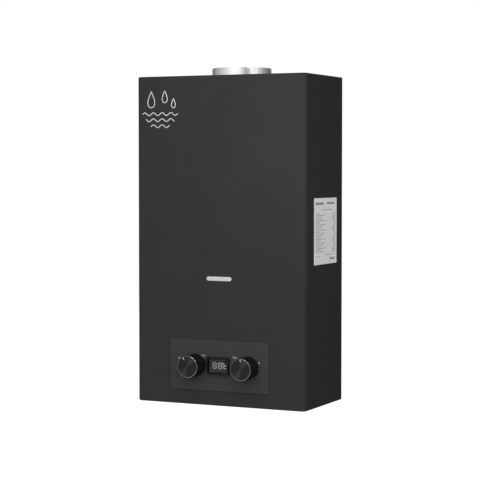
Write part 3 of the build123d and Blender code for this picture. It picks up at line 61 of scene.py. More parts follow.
def new_finish(name, rough, metal=0.0, level=0.5):
    """Material with one Principled shader; values even all over go straight on its sockets."""
    made = bpy.data.materials.new(name)
    made.use_nodes = True
    shader = made.node_tree.nodes["Principled BSDF"]
    shader.inputs["Roughness"].default_value = rough
    shader.inputs["Metallic"].default_value = metal
    shader.inputs["Specular IOR Level"].default_value = level
    return made, made.node_tree, shader


def object_place(tree, stretch=(1.0, 1.0, 1.0)):
    """Object coordinates in millimetres, drawn out along each axis by stretch."""
    place = tree.nodes.new("ShaderNodeTexCoord")
    scale = tree.nodes.new("ShaderNodeMapping")
    scale.inputs["Scale"].default_value = [1.0 / (MM * s) for s in stretch]
    tree.links.new(place.outputs["Object"], scale.inputs["Vector"])
    return scale.outputs["Vector"]


def noise(tree, place, grain, detail=3.0):
    """Noise whose patches are about grain millimetres across."""
    texture = tree.nodes.new("ShaderNodeTexNoise")
    texture.inputs["Scale"].default_value = 1.0 / grain
    texture.inputs["Detail"].default_value = detail
    tree.links.new(place, texture.inputs["Vector"])
    return texture.outputs["Fac"]


def ramp(tree, factor, stops, ease="LINEAR"):
    """Colour that passes through the (place, colour) stops as the factor goes from 0 to 1."""
    node = tree.nodes.new("ShaderNodeValToRGB")
    node.color_ramp.interpolation = ease
    band = node.color_ramp.elements
    for element, (place, rgb) in zip(band, (stops[0], stops[-1])):
        element.position = place
        element.color = (*rgb, 1.0)
    for place, rgb in stops[1:-1]:
        band.new(place).color = (*rgb, 1.0)
    tree.links.new(factor, node.inputs["Fac"])
    return node.outputs["Color"]


def shade(tree, factor, dark, light, low=0.3, high=0.7):
    """Colour from dark to light as the factor goes from low to high, where most of a noise lies."""
    return ramp(tree, factor, [(low, dark), (high, light)])


def spread(tree, factor, low, high):
    """Number that goes from low to high with the factor."""
    node = tree.nodes.new("ShaderNodeMapRange")
    node.inputs["To Min"].default_value = low
    node.inputs["To Max"].default_value = high
    tree.links.new(factor, node.inputs["Value"])
    return node.outputs["Result"]


def relief(tree, shader, height, depth):
    """Raises the surface by depth millimetres where the height is one."""
    bump = tree.nodes.new("ShaderNodeBump")
    bump.inputs["Distance"].default_value = depth * MM
    tree.links.new(height, bump.inputs["Height"])
    tree.links.new(bump.outputs["Normal"], shader.inputs["Normal"])


def dress(finish, *names):
    """Gives CAD nodes a finish through their material slots."""
    for name in names:
        for place in nodes[name].material_slots:
            place.material = finish


def zinc_flakes():
    """Each Voronoi cell is one crystal with its own grey and roughness; wide noise stains them."""
    made, tree, shader = new_finish("zinc_sheet", sum(ZINC_ROUGH) / 2.0, metal=1.0)
    place = object_place(tree)
    crystal = tree.nodes.new("ShaderNodeTexVoronoi")
    crystal.inputs["Scale"].default_value = 1.0 / ZINC_FLAKE
    tree.links.new(place, crystal.inputs["Vector"])
    part = tree.nodes.new("ShaderNodeSeparateColor")
    tree.links.new(crystal.outputs["Color"], part.inputs["Color"])
    blend = tree.nodes.new("ShaderNodeMath")
    blend.operation = "MULTIPLY_ADD"
    blend.inputs[1].default_value = 1.0 - STAIN_SHARE
    tree.links.new(part.outputs["Red"], blend.inputs[0])
    stain = spread(tree, noise(tree, place, ZINC_STAIN), 0.0, STAIN_SHARE)
    tree.links.new(stain, blend.inputs[2])
    grey = shade(tree, blend.outputs["Value"], ZINC_DULL, ZINC_BRIGHT, low=0.1, high=0.9)
    tree.links.new(grey, shader.inputs["Base Color"])
    tree.links.new(spread(tree, part.outputs["Green"], *ZINC_ROUGH), shader.inputs["Roughness"])
    relief(tree, shader, part.outputs["Blue"], ZINC_RELIEF)
    return made


dress(zinc_flakes(), *ZINC_NODES)


# Heat exchanger and pipes
# Copper jacket, fins and one long tube bent back and forth through them, brazed into one block.
# Heat turns the copper dull and reddish in patches; the pipes are bent from like tube.
COPPER_NODES = ("heat_exchanger_jacket", "heat_exchanger_fins", "heat_exchanger_tube",
                "cold_pipe", "hot_pipe", "gas_feed_pipe")
COPPER_DULL = (0.44, 0.17, 0.09)
COPPER_BRIGHT = (0.80, 0.42, 0.27)
ROUGH_SWING = 0.2
RELIEF_FINER = 4.0


def mottled(name, dark, light, rough, grain, depth, metal=0.0, level=0.5):
    """Colour drifts from dark to light with noise of the grain's size in millimetres, roughness
    swings by a fifth with the same noise, and a noise four times finer raises the surface by depth
    millimetres."""
    made, tree, shader = new_finish(name, rough, metal, level)
    place = object_place(tree)
    patches = noise(tree, place, grain)
    tree.links.new(shade(tree, patches, dark, light), shader.inputs["Base Color"])
    swing = spread(tree, patches, (1.0 - ROUGH_SWING) * rough, (1.0 + ROUGH_SWING) * rough)
    tree.links.new(swing, shader.inputs["Roughness"])
    relief(tree, shader, noise(tree, place, grain / RELIEF_FINER), depth)
    return made


warm_copper = mottled("warm_copper", COPPER_DULL, COPPER_BRIGHT, rough=0.34, grain=24.0,
                      depth=0.02, metal=1.0)
dress(warm_copper, *COPPER_NODES)


# Burner
# Stainless pressings with slotted flame ports, blued by heat, in a tray of the same sheet.
# An aluminium manifold bar feeds one brass jet for each burner bar.
BURNER_DARK = (0.20, 0.19, 0.20)
BURNER_LIGHT = (0.50, 0.47, 0.44)
CAST_DARK = (0.42, 0.43, 0.44)
CAST_LIGHT = (0.58, 0.59, 0.60)
BRASS_DARK = (0.50, 0.34, 0.12)
BRASS_LIGHT = (0.74, 0.56, 0.26)
cast_aluminium = mottled("cast_aluminium", CAST_DARK, CAST_LIGHT, rough=0.5, grain=5.0,
                         depth=0.06, metal=1.0)
machined_brass = mottled("machined_brass", BRASS_DARK, BRASS_LIGHT, rough=0.3, grain=14.0,
                         depth=0.012, metal=1.0)
blued_steel = mottled("blued_steel", BURNER_DARK, BURNER_LIGHT, rough=0.36, grain=18.0,
                      depth=0.02, metal=1.0)
dress(blued_steel, "burner_tray", "burner_bars")
dress(cast_aluminium, "gas_manifold")
dress(machined_brass, "gas_nozzles")


# Electrodes
# Heat-resisting wires in glazed ceramic sleeves, clamped in a zinc-coated bracket by the burner.
# One lights the gas and the other senses the flame.
CERAMIC_DARK = (0.70, 0.68, 0.62)
CERAMIC_LIGHT = (0.84, 0.83, 0.80)
WIRE_DARK = (0.30, 0.30, 0.31)
WIRE_LIGHT = (0.56, 0.56, 0.57)
drawn_wire = mottled("drawn_wire", WIRE_DARK, WIRE_LIGHT, rough=0.32, grain=6.0, depth=0.01,
                     metal=1.0)
glazed_ceramic = mottled("glazed_ceramic", CERAMIC_DARK, CERAMIC_LIGHT, rough=0.16, grain=5.0,
                         depth=0.015)
dress(glazed_ceramic, "electrode_insulators")
dress(drawn_wire, "flame_sensor", "ignition_electrode")


# Gas valve, water valve and flow switch
# A die-cast gas valve and a brass water valve on one axis, joined by the diaphragm's push rod.
# Solenoid, springs and flow switch are bought-in parts clamped or clipped to them.
COIL_DARK = (0.02, 0.02, 0.024)
COIL_LIGHT = (0.05, 0.05, 0.055)
RUBBER_DARK = (0.016, 0.016, 0.017)
RUBBER_LIGHT = (0.035, 0.035, 0.036)
SWITCH_DARK = (0.30, 0.03, 0.025)
SWITCH_LIGHT = (0.46, 0.06, 0.05)
coil_wrap = mottled("coil_wrap", COIL_DARK, COIL_LIGHT, rough=0.4, grain=4.0, depth=0.03)
diaphragm_rubber = mottled("diaphragm_rubber", RUBBER_DARK, RUBBER_LIGHT, rough=0.7, grain=3.0,
                           depth=0.03)
switch_shell = mottled("switch_shell", SWITCH_DARK, SWITCH_LIGHT, rough=0.38, grain=6.0,
                       depth=0.02)
dress(cast_aluminium, "gas_valve_body")
dress(machined_brass, "water_valve_body", "water_valve_cover", "spindle_glands", "gas_spindle",
      "water_spindle", "push_rod", "locknuts")
dress(drawn_wire, "solenoid_plunger", "microswitch_lever")
dress(coil_wrap, "solenoid_coil")
dress(diaphragm_rubber, "diaphragm")
dress(switch_shell, "microswitch")


# Control box, cells, sensors and leads
# Moulded boxes screwed to the bottom plate, two cells between plated contacts, clip-on sensors.
# Silicone-sleeved leads run to the control box from the electrodes, display, cells and switch.
BOX_DARK = (0.035, 0.035, 0.038)
BOX_LIGHT = (0.075, 0.075, 0.080)
CELL_DARK = (0.03, 0.06, 0.14)
CELL_LIGHT = (0.06, 0.11, 0.24)
LEAD_DARK = (0.25, 0.025, 0.02)
LEAD_LIGHT = (0.40, 0.05, 0.04)
BOARD_DARK = (0.012, 0.07, 0.035)
BOARD_LIGHT = (0.03, 0.15, 0.08)
BOARD_FACE = -165.2
box_moulding = mottled("box_moulding", BOX_DARK, BOX_LIGHT, rough=0.48, grain=3.0, depth=0.03)
cell_sleeve = mottled("cell_sleeve", CELL_DARK, CELL_LIGHT, rough=0.28, grain=20.0, depth=0.01)
lead_sleeve = mottled("lead_sleeve", LEAD_DARK, LEAD_LIGHT, rough=0.5, grain=6.0, depth=0.02)
dress(box_moulding, "control_box", "battery_box", "battery_door", "drain_plug")
dress(cell_sleeve, "battery_cells")
dress(drawn_wire, "battery_contacts", "battery_door_pin", "temperature_sensors")
dress(lead_sleeve, "wiring_leads")


def board_lacquer():
    """Green lacquer mottled by noise; ahead of the board's face, its digit block is black."""
    made = mottled("board_lacquer", BOARD_DARK, BOARD_LIGHT, rough=0.3, grain=7.0, depth=0.02)
    tree = made.node_tree
    shader = tree.nodes["Principled BSDF"]
    green = shader.inputs["Base Color"].links[0].from_socket
    part = tree.nodes.new("ShaderNodeSeparateXYZ")
    tree.links.new(object_place(tree), part.inputs["Vector"])
    ahead = tree.nodes.new("ShaderNodeMath")
    ahead.operation = "LESS_THAN"
    ahead.inputs[1].default_value = BOARD_FACE
    tree.links.new(part.outputs["Y"], ahead.inputs[0])
    mix = tree.nodes.new("ShaderNodeMix")
    mix.data_type = "RGBA"
    tree.links.new(ahead.outputs["Value"], mix.inputs["Factor"])
    tree.links.new(green, mix.inputs["A"])
    mix.inputs["B"].default_value = (*BOX_DARK, 1.0)
    tree.links.new(mix.outputs["Result"], shader.inputs["Base Color"])
    return made


dress(board_lacquer(), "display_board")


# Flue collar
# Spun collar of bright rolled steel sheet, flanged below, with a curled rim; its reflections are
# painted into its colour.
# Its flange is riveted to the top plate, and the flue pipe slips over it.
COLLAR_Y = -76.0
COLLAR_R = 55.0
COLLAR_WALL = 1.0
COLLAR_FLANGE_R = 59.0
COLLAR_FOOT = 297.7
COLLAR_FILLET = 1.2
COLLAR_TOP = 316.0
COLLAR_TURNS = 160
# Radius of the rim's curl, the angle at which it ends, and how far down it meets the inner wall.
CURL_R = 1.0
CURL_END = 250.0
CURL_DROP = 2.2
CURL_STEPS = 18
# Painted reflections and shade: greys of light bands and dark gaps round the collar, darkest where
# it turns away at its left and right edges seen from the front right, by share of a turn
# anticlockwise from the right, seen from above.
COLLAR_PAINTED_REFLECTIONS = ((0.0, 0.16), (0.07, 0.20), (0.14, 0.62), (0.24, 0.86), (0.33, 0.52),
                  (0.42, 0.84), (0.50, 0.60), (0.56, 0.06), (0.595, 0.10), (0.64, 0.28),
                  (0.68, 0.46), (0.72, 0.68), (0.75, 0.86), (0.81, 0.86), (0.825, 0.68),
                  (0.841, 0.40), (0.858, 0.48), (0.872, 0.86), (0.90, 0.90), (0.925, 0.56),
                  (0.955, 0.31), (0.98, 0.21), (1.0, 0.16))
REFLECTION_BLUE_TINT = 1.01
# Share of the light that the sheet gives back at a glancing angle.
COLLAR_GLANCE = (0.6, 0.6, 0.6, 1.0)
COLLAR_GRAIN = (0.6, 0.6, 30.0)
COLLAR_WORN = (0.84, 0.84, 0.84)
COLLAR_CLEAN = (1.0, 1.0, 1.0)
COLLAR_ROUGH = (0.11, 0.19)
COLLAR_RELIEF = 0.01
# Distances in metres under which points are one point and faces are slivers.
MERGE = 1e-6
SLIVER = 1e-7


def build(name, grids, finish, body, replaced=(), corner=35.0):
    """One piece from grids of points in millimetres, each rows by columns by three. Neighbours in
    a grid are joined by four-sided faces; points that meet at seams and poles are merged, and faces
    turn outwards. Edges sharper than corner degrees stay sharp."""
    points, faces, shares = [], [], []
    start = 0
    for grid in grids:
        rows, columns = grid.shape[:2]
        index = start + np.arange(rows * columns).reshape(rows, columns)
        quads = np.stack([index[:-1, :-1], index[1:, :-1], index[1:, 1:], index[:-1, 1:]], axis=-1)
        v, u = np.meshgrid(np.linspace(0, 1, rows), np.linspace(0, 1, columns), indexing="ij")
        faces.append(quads.reshape(-1, 4))
        points.append(grid.reshape(-1, 3))
        shares.append(np.stack([u, v], axis=-1).reshape(-1, 2))
        start += rows * columns
    mesh = bpy.data.meshes.new(name)
    mesh.from_pydata((np.concatenate(points) * MM).tolist(), [], np.concatenate(faces).tolist())
    corners = np.zeros(len(mesh.loops), np.int32)
    mesh.loops.foreach_get("vertex_index", corners)
    flat = np.concatenate(shares)[corners].astype(np.float32)
    mesh.uv_layers.new(name="surface").data.foreach_set("uv", flat.ravel())
    work = bmesh.new()
    work.from_mesh(mesh)
    bmesh.ops.remove_doubles(work, verts=work.verts, dist=MERGE)
    bmesh.ops.dissolve_degenerate(work, edges=work.edges, dist=SLIVER)
    bmesh.ops.recalc_face_normals(work, faces=work.faces)
    work.to_mesh(mesh)
    work.free()
    mesh.shade_smooth()
    mesh.set_sharp_from_angle(angle=np.radians(corner))
    mesh.materials.append(finish)
    made = bpy.data.objects.new(name, mesh)
    bpy.context.scene.collection.objects.link(made)
    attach(made, body)
    if replaced:
        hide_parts(*replaced)
    return made


def lathe(profile, turns=120):
    """Profile of (radius, height) carried round the upright axis: x = r cos a, y = r sin a,
    z = height."""
    outline = np.asarray(profile, float)
    angle = np.linspace(0.0, 2.0 * np.pi, turns + 1)
    radius = outline[:, :1]
    height = np.broadcast_to(outline[:, 1:], (len(outline), turns + 1))
    return np.stack([radius * np.cos(angle), radius * np.sin(angle), height], axis=-1)


def arc(centre, radius, start, end, steps=9):
    """Points on a circle about centre, from one angle to another in degrees."""
    angle = np.radians(np.linspace(start, end, steps))
    return np.stack([centre[0] + radius * np.cos(angle), centre[1] + radius * np.sin(angle)],
                    axis=-1)


def sheet_with_painted_reflections():
    """Painted reflections and shade: a ramp of greys round the turn, from the piece's own map,
    times fine grain noise drawn out along the height."""
    made, tree, shader = new_finish("sheet_with_painted_reflections", sum(COLLAR_ROUGH) / 2.0, metal=1.0)
    shader.inputs["Specular Tint"].default_value = COLLAR_GLANCE
    turn = tree.nodes.new("ShaderNodeUVMap")
    turn.uv_map = "surface"
    part = tree.nodes.new("ShaderNodeSeparateXYZ")
    tree.links.new(turn.outputs["UV"], part.inputs["Vector"])
    # These greys paint the studio's light bands, dark gaps and darker edges into the sheet's
    # colour.
    painted_greys = [(share, (grey, grey, REFLECTION_BLUE_TINT * grey)) for share, grey in COLLAR_PAINTED_REFLECTIONS]
    painted_reflection = ramp(tree, part.outputs["X"], painted_greys, "EASE")
    fine = noise(tree, object_place(tree, COLLAR_GRAIN), 1.0)
    mix = tree.nodes.new("ShaderNodeMix")
    mix.data_type = "RGBA"
    mix.blend_type = "MULTIPLY"
    mix.inputs["Factor"].default_value = 1.0
    tree.links.new(painted_reflection, mix.inputs["A"])
    tree.links.new(shade(tree, fine, COLLAR_WORN, COLLAR_CLEAN), mix.inputs["B"])
    tree.links.new(mix.outputs["Result"], shader.inputs["Base Color"])
    tree.links.new(spread(tree, fine, *COLLAR_ROUGH), shader.inputs["Roughness"])
    relief(tree, shader, fine, COLLAR_RELIEF)
    return made


def collar_profile():
    """Flange, fillet, wall, curled rim and inner wall, as (radius, height)."""
    inside = COLLAR_R - COLLAR_WALL
    flange = COLLAR_FOOT + COLLAR_WALL
    foot = [(inside, COLLAR_FOOT), (COLLAR_FLANGE_R, COLLAR_FOOT), (COLLAR_FLANGE_R, flange)]
    fillet = arc((COLLAR_R + COLLAR_FILLET, flange + COLLAR_FILLET), COLLAR_FILLET, 270.0, 180.0)
    rim = arc((inside, COLLAR_TOP - CURL_R), CURL_R, 0.0, CURL_END, CURL_STEPS)
    inner = [(inside, COLLAR_TOP - CURL_DROP), (inside, COLLAR_FOOT)]
    return np.concatenate([foot, fillet, rim, inner])


collar = lathe(collar_profile(), COLLAR_TURNS) + (0.0, COLLAR_Y, 0.0)
build("flue_collar_spun", [collar], sheet_with_painted_reflections(), "chassis", ("flue_collar",))


# Valve springs
# Springs coiled from hard-drawn wire: one seats the gas poppet, one the solenoid's plunger.
# Each stands between a fixed shoulder and the piece that it pushes.
SPRING_Y = -60.0
SPRING_Z = -226.6
WIRE_R = 0.6
WIRE_STEPS = 12
SPRING_TURNS = 4
TURN_STEPS = 48
# Node, joint that presses it, fixed and moving end along x, middle radius of the coil, and travel.
SPRINGS = (("push_rod_spring", "push_rod_slide", -34.62, -23.78, 5.2, 5.0),
           ("solenoid_spring", "gas_plunger_slide", -80.62, -62.78, 7.8, 4.0))


def coil(start, end, radius):
    """Circle of the wire's radius carried along a helix about the x axis: the helix turns evenly as
    x goes from one end to the other, and each circle lies across it. Both ends are gathered into
    one point."""
    turn = np.linspace(0.0, 2.0 * np.pi * SPRING_TURNS, TURN_STEPS * SPRING_TURNS + 1)[:, None]
    wire = np.linspace(0.0, 2.0 * np.pi, WIRE_STEPS + 1)
    first, last = start + WIRE_R, end - WIRE_R
    x = first + (last - first) * turn / turn[-1]
    rise = (last - first) / turn[-1]
    outward = np.stack([np.zeros_like(turn), np.cos(turn), np.sin(turn)], axis=-1)
    across = np.stack([np.full_like(turn, radius), rise * np.sin(turn), -rise * np.cos(turn)],
                      axis=-1)
    across = across / np.hypot(radius, rise)
    middle = np.stack([x, radius * np.cos(turn), radius * np.sin(turn)], axis=-1)
    ring = WIRE_R * (np.cos(wire)[None, :, None] * outward + np.sin(wire)[None, :, None] * across)
    grid = middle + ring
    ends = [np.broadcast_to(middle[k], grid[:1].shape) for k in (0, -1)]
    return np.concatenate([ends[0], grid, ends[1]]) + (0.0, SPRING_Y, SPRING_Z)


for node, joint, fixed, moving, radius, travel in SPRINGS:
    made = build(node + "_coil", [coil(fixed, moving, radius)], drawn_wire, "chassis",
                 (node,))
    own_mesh(made)


# Inlet and outlet fittings
# Brass unions turned from hexagon bar, with a half inch thread below and a neck up to the valves.
# Locknuts inside the case clamp them to the bottom plate.
FITTINGS = (("gas_inlet_fitting", -46.2), ("cold_inlet_fitting", 92.7),
            ("hot_outlet_fitting", -142.0))
FITTING_Y = -60.0
FITTING_TURNS = 144
NECK_TOP = -253.6
NECK_R = 10.0
NECK_BORE_R = 5.0
HEX_TOP = -297.7
HEX_FLAT_R = 13.5
HEX_T = 5.0
HEX_EDGE = 0.7
THREAD_R = 10.48
THREAD_DEEP = 1.0
THREAD_PITCH = 1.814
THREAD_ROWS = 10
THREAD_STUB = 0.4
THREAD_END = -315.2
THREAD_LEAD = 1.2
THREAD_BORE_R = 6.5


def union_grid():
    """Closed profile of (radius, height) carried round the axis. In the hexagon's rows the radius
    is the flat's distance over the cosine of the angle from the flat; in the thread's rows a
    triangle wave, which climbs one pitch in each turn, is taken off the radius."""
    hex_bottom = HEX_TOP - HEX_T
    root = THREAD_R - THREAD_DEEP
    tip = THREAD_R - THREAD_LEAD
    thread = np.arange(hex_bottom - THREAD_STUB, THREAD_END, -THREAD_PITCH / THREAD_ROWS)
    top = [(NECK_BORE_R, NECK_TOP), (NECK_R, NECK_TOP), (NECK_R, HEX_TOP)]
    hexagon = [(HEX_FLAT_R, HEX_TOP), (np.inf, HEX_TOP - HEX_EDGE),
               (np.inf, hex_bottom + HEX_EDGE), (HEX_FLAT_R, hex_bottom)]
    stub = [(root, hex_bottom), (root, hex_bottom - THREAD_STUB)]
    end = [(tip, THREAD_END), (THREAD_BORE_R, THREAD_END), (THREAD_BORE_R, hex_bottom),
           (NECK_BORE_R, hex_bottom), (NECK_BORE_R, NECK_TOP)]
    rows = np.array(top + hexagon + stub + [(THREAD_R, z) for z in thread] + end)
    angle = np.linspace(0.0, 2.0 * np.pi, FITTING_TURNS + 1)
    sixth = np.pi / 3.0
    side = HEX_FLAT_R / np.cos(np.mod(angle, sixth) - sixth / 2.0)
    radius = np.minimum(rows[:, :1], np.where(np.isinf(rows[:, :1]), side, np.inf))
    first = len(top) + len(hexagon) + len(stub)
    climb = thread[:, None] / THREAD_PITCH + angle / (2.0 * np.pi)
    cut = THREAD_R - THREAD_DEEP * np.abs(2.0 * np.mod(climb, 1.0) - 1.0)
    lead = tip + (thread[:, None] - THREAD_END)
    radius[first:first + len(thread)] = np.minimum(cut, lead)
    height = np.broadcast_to(rows[:, 1:], radius.shape)
    return np.stack([radius * np.cos(angle), radius * np.sin(angle), height], axis=-1)


for node, x in FITTINGS:
    build(node + "_threaded", [union_grid() + (x, FITTING_Y, 0.0)], machined_brass, "chassis",
          (node,), corner=25.0)


# Front cover
# Five-sided cover folded from steel sheet, with rounded upright edges, in satin black powder coat.
# It slides over the chassis from the front and is held by two screws below.
COVER_DARK = (0.0360, 0.0360, 0.0362)
COVER_LIGHT = (0.0395, 0.0395, 0.0397)
COVER_SPECK = 0.9
COVER_SWIRL = 140.0
COVER_LEVEL = 0.002
COVER_ROUGH = (0.44, 0.56)
COVER_RELIEF = 0.012


def powder_coat():
    """Very even dark colour with faint wide drift; fine noise gives the coat its grain and its
    roughness."""
    made, tree, shader = new_finish("powder_coat", sum(COVER_ROUGH) / 2.0, level=COVER_LEVEL)
    place = object_place(tree)
    drift = noise(tree, place, COVER_SWIRL)
    grain = noise(tree, place, COVER_SPECK, detail=2.0)
    tree.links.new(shade(tree, drift, COVER_DARK, COVER_LIGHT), shader.inputs["Base Color"])
    tree.links.new(spread(tree, grain, *COVER_ROUGH), shader.inputs["Roughness"])
    relief(tree, shader, grain, COVER_RELIEF)
    return made


dress(powder_coat(), "front_cover")


# Printed design at the top left of the cover
# Thin white screen-printed lines, a little proud of the coat: drops over running water.
# The ink is laid straight on the powder coat and baked.
PRINT_FACE = -172.0
PRINT_T = 0.08
LINE_W = 1.7
INK_DARK = (0.50, 0.50, 0.50)
INK_LIGHT = (0.58, 0.58, 0.58)
# Directions of right, up and out on the front.
FRONT = ((1.0, 0.0, 0.0), (0.0, 0.0, 1.0), (0.0, -1.0, 0.0))
# Shares of a line's width and height at the corners of its section, closed on the first.
LINE_SECTION = ((-0.5, 0.0), (-0.5, 0.6), (-0.42, 1.0), (0.42, 1.0), (0.5, 0.6), (0.5, 0.0),
                (-0.5, 0.0))
# Middle (x, z), half width, half height of each drop, and start, end and height of each wave.
DROPS = ((-139.0, 258.0, 9.0, 15.0), (-111.0, 263.0, 6.5, 11.0), (-93.0, 251.0, 5.0, 8.5))
DROP_TAPER = 1.5
DROP_SWELL = 1.15
WAVES = ((-157.0, -84.0, 231.0), (-150.0, -91.0, 220.0), (-140.0, -101.0, 209.0))
WAVE_L = 18.0
WAVE_H = 2.6


def ribbon(path, width, height, closed=False):
    """Flat bar carried along a path of (a, b): its section's corners are offset from the path along
    its normal by shares of the width and raised by shares of the height. Open ends are gathered
    into one point."""
    line = np.asarray(path, float)
    along = np.gradient(line, axis=0)
    if closed:
        along[0] = along[-1] = line[1] - line[-2]
    along /= np.linalg.norm(along, axis=1, keepdims=True)
    normal = np.stack([-along[:, 1], along[:, 0]], axis=-1)
    across = np.array(LINE_SECTION)
    flat = line[:, None, :] + normal[:, None, :] * (across[:, 0] * width)[None, :, None]
    rise = np.broadcast_to(across[:, 1] * height, flat.shape[:2])
    grid = np.concatenate([flat, rise[:, :, None]], axis=-1)
    if closed:
        return grid
    ends = [np.broadcast_to([*line[k], 0.5 * height], grid[:1].shape) for k in (0, -1)]
    return np.concatenate([ends[0], grid, ends[1]])


def set_on(grids, origin, face):
    """Places grids of (across, up, out) on a face: origin plus each number times its direction."""
    return [grid @ np.array(face) + np.array(origin) for grid in grids]


def drop_outline(x, z, half_w, half_h, lean=0.0, steps=49):
    """Drop: height is the cosine of the angle, width its sine times a power of the half angle's
    sine; lean pushes the tip sideways with the square of the height."""
    t = np.linspace(0.0, 2.0 * np.pi, steps)
    rise = np.cos(t)
    width = half_w * np.sin(t) * np.sin(t / 2.0) ** DROP_TAPER * DROP_SWELL
    push = lean * half_w * (rise + 1.0) ** 2 / 4.0
    return np.stack([x + width + push, z + half_h * rise], axis=-1)


def wave_line(x0, x1, z, steps=73):
    """Running wave: height is a sine of the way along."""
    x = np.linspace(x0, x1, steps)
    return np.stack([x, z + WAVE_H * np.sin(2.0 * np.pi * (x - WAVES[0][0]) / WAVE_L)], axis=-1)


white_ink = mottled("white_ink", INK_DARK, INK_LIGHT, rough=0.5, grain=2.0, depth=0.01)
design = [ribbon(drop_outline(*drop), LINE_W, PRINT_T, closed=True) for drop in DROPS]
design += [ribbon(wave_line(*wave), LINE_W, PRINT_T) for wave in WAVES]
build("printed_design", set_on(design, (0.0, PRINT_FACE, 0.0), FRONT), white_ink, "chassis")


# Sight window
# Obround pane of frosted heat-resisting glass, pressed into the cover from the front.
# It has a small flange around the hole; the burner's glow shows through it.
PANE_DARK = (0.50, 0.505, 0.51)
PANE_LIGHT = (0.63, 0.635, 0.64)
frosted_pane = mottled("frosted_pane", PANE_DARK, PANE_LIGHT, rough=0.3, grain=5.0, depth=0.02)
dress(frosted_pane, "sight_glass")


# Side label
# White film sticker on the right side, with plain bars and two columns of thin ruled lines.
# It is printed in grey and stuck on after coating.
LABEL_X = 170.0
LABEL_Y = (-133.5, -27.5)
LABEL_Z = (-41.8, 78.2)
LABEL_T = 0.3
LABEL_R = 1.5
LABEL_DARK = (0.88, 0.88, 0.885)
LABEL_LIGHT = (0.93, 0.93, 0.935)
RULE_INK = (0.14, 0.14, 0.145)
RULE_INK_LIGHT = (0.20, 0.20, 0.205)
BAR_INK = (0.24, 0.24, 0.245)
BAR_INK_LIGHT = (0.32, 0.32, 0.325)
RULE_W = 0.9
RULE_T = 0.04
RULE_IN = 6.5
RULE_TOP = 28.0
RULE_STEP = 3.3
RULE_COUNT = 22
# Least length, swing and beat from row to row, in the left and in the right column.
LONG_RULES = (22.0, 26.0, 1.9)
SHORT_RULES = (7.0, 9.0, 2.6)
# Left end, right end and drop of each lone rule, and left, right, top and bottom of each bar, all
# from the label's upper left corner.
LONE_RULES = ((34.0, 82.0, 21.5), (6.5, 30.0, 105.5), (51.0, 95.0, 103.0))
BARS = ((6.0, 44.0, 7.8, 12.4), (58.0, 94.0, 7.8, 11.6), (72.0, 96.0, 108.5, 112.6))
BAR_R = 0.8
BAR_SOFT = 0.02
SOFT_DROP = 0.9
# Directions of right, up and out on the right side.
SIDE = ((0.0, 1.0, 0.0), (0.0, 0.0, 1.0), (1.0, 0.0, 0.0))


def slab(outline, height, soft=0.2):
    """Body from a closed outline of (a, b): rows go from the middle of the rear out to the outline,
    up its edge, over a soft corner and in to the middle of the front, each a share of the way from
    middle to outline."""
    shape = np.asarray(outline, float)
    middle = (shape.min(axis=0) + shape.max(axis=0)) / 2.0
    reach = np.linalg.norm(shape - middle, axis=1).mean()
    corner = min(soft, height)
    rows = np.array([(0.0, 0.0), (1.0, 0.0), (1.0, height - corner * SOFT_DROP),
                     (1.0 - corner / reach, height), (0.0, height)])
    flat = middle + rows[:, None, :1] * (shape - middle)[None]
    rise = np.broadcast_to(rows[:, 1:], flat.shape[:2])
    return np.concatenate([flat, rise[:, :, None]], axis=-1)


def rounded(a0, a1, b0, b1, r, steps=7):
    """Rectangle with round corners: a quarter circle about each corner's centre, closed on its
    first point."""
    turn = np.linspace(0.0, np.pi / 2.0, steps)
    corners = ((a1 - r, b1 - r, 0.0), (a0 + r, b1 - r, 0.5), (a0 + r, b0 + r, 1.0),
               (a1 - r, b0 + r, 1.5))
    points = [np.stack([a + r * np.cos(turn + k * np.pi), b + r * np.sin(turn + k * np.pi)],
                       axis=-1) for a, b, k in corners]
    return np.concatenate(points + [points[0][:1]])


def rule(start, length, z, steps=5):
    """Straight printed line from start to the right."""
    path = np.stack([np.linspace(start, start + length, steps), np.full(steps, z)], axis=-1)
    return ribbon(path, RULE_W, RULE_T)


def rule_length(row, least, swing, beat):
    """The least length plus the swing times the squared sine of the row's number."""
    return least + swing * np.sin(beat * row) ** 2


label_film = mottled("label_film", LABEL_DARK, LABEL_LIGHT, rough=0.42, grain=8.0, depth=0.01)
rule_ink = mottled("rule_ink", RULE_INK, RULE_INK_LIGHT, rough=0.5, grain=3.0, depth=0.005)
bar_ink = mottled("bar_ink", BAR_INK, BAR_INK_LIGHT, rough=0.5, grain=3.0, depth=0.005)
sticker = slab(rounded(*LABEL_Y, *LABEL_Z, LABEL_R), LABEL_T)
label_left, label_top = LABEL_Y[0], LABEL_Z[1]
first_end, last_end = label_left + RULE_IN, LABEL_Y[1] - RULE_IN
rules = []
for row in range(RULE_COUNT):
    height = label_top - RULE_TOP - RULE_STEP * row
    long, short = rule_length(row, *LONG_RULES), rule_length(row, *SHORT_RULES)
    rules += [rule(first_end, long, height), rule(last_end - short, short, height)]
rules += [rule(label_left + a, b - a, label_top - drop) for a, b, drop in LONE_RULES]
bars = [slab(rounded(label_left + a, label_left + b, label_top - low, label_top - high, BAR_R),
             RULE_T, BAR_SOFT) for a, b, high, low in BARS]
print_place = (LABEL_X + LABEL_T, 0.0, 0.0)
build("side_label_film", set_on([sticker], (LABEL_X, 0.0, 0.0), SIDE), label_film, "chassis",
      ("rating_label",))
build("side_label_rules", set_on(rules, print_place, SIDE), rule_ink, "chassis")
build("side_label_bars", set_on(bars, print_place, SIDE), bar_ink, "chassis")


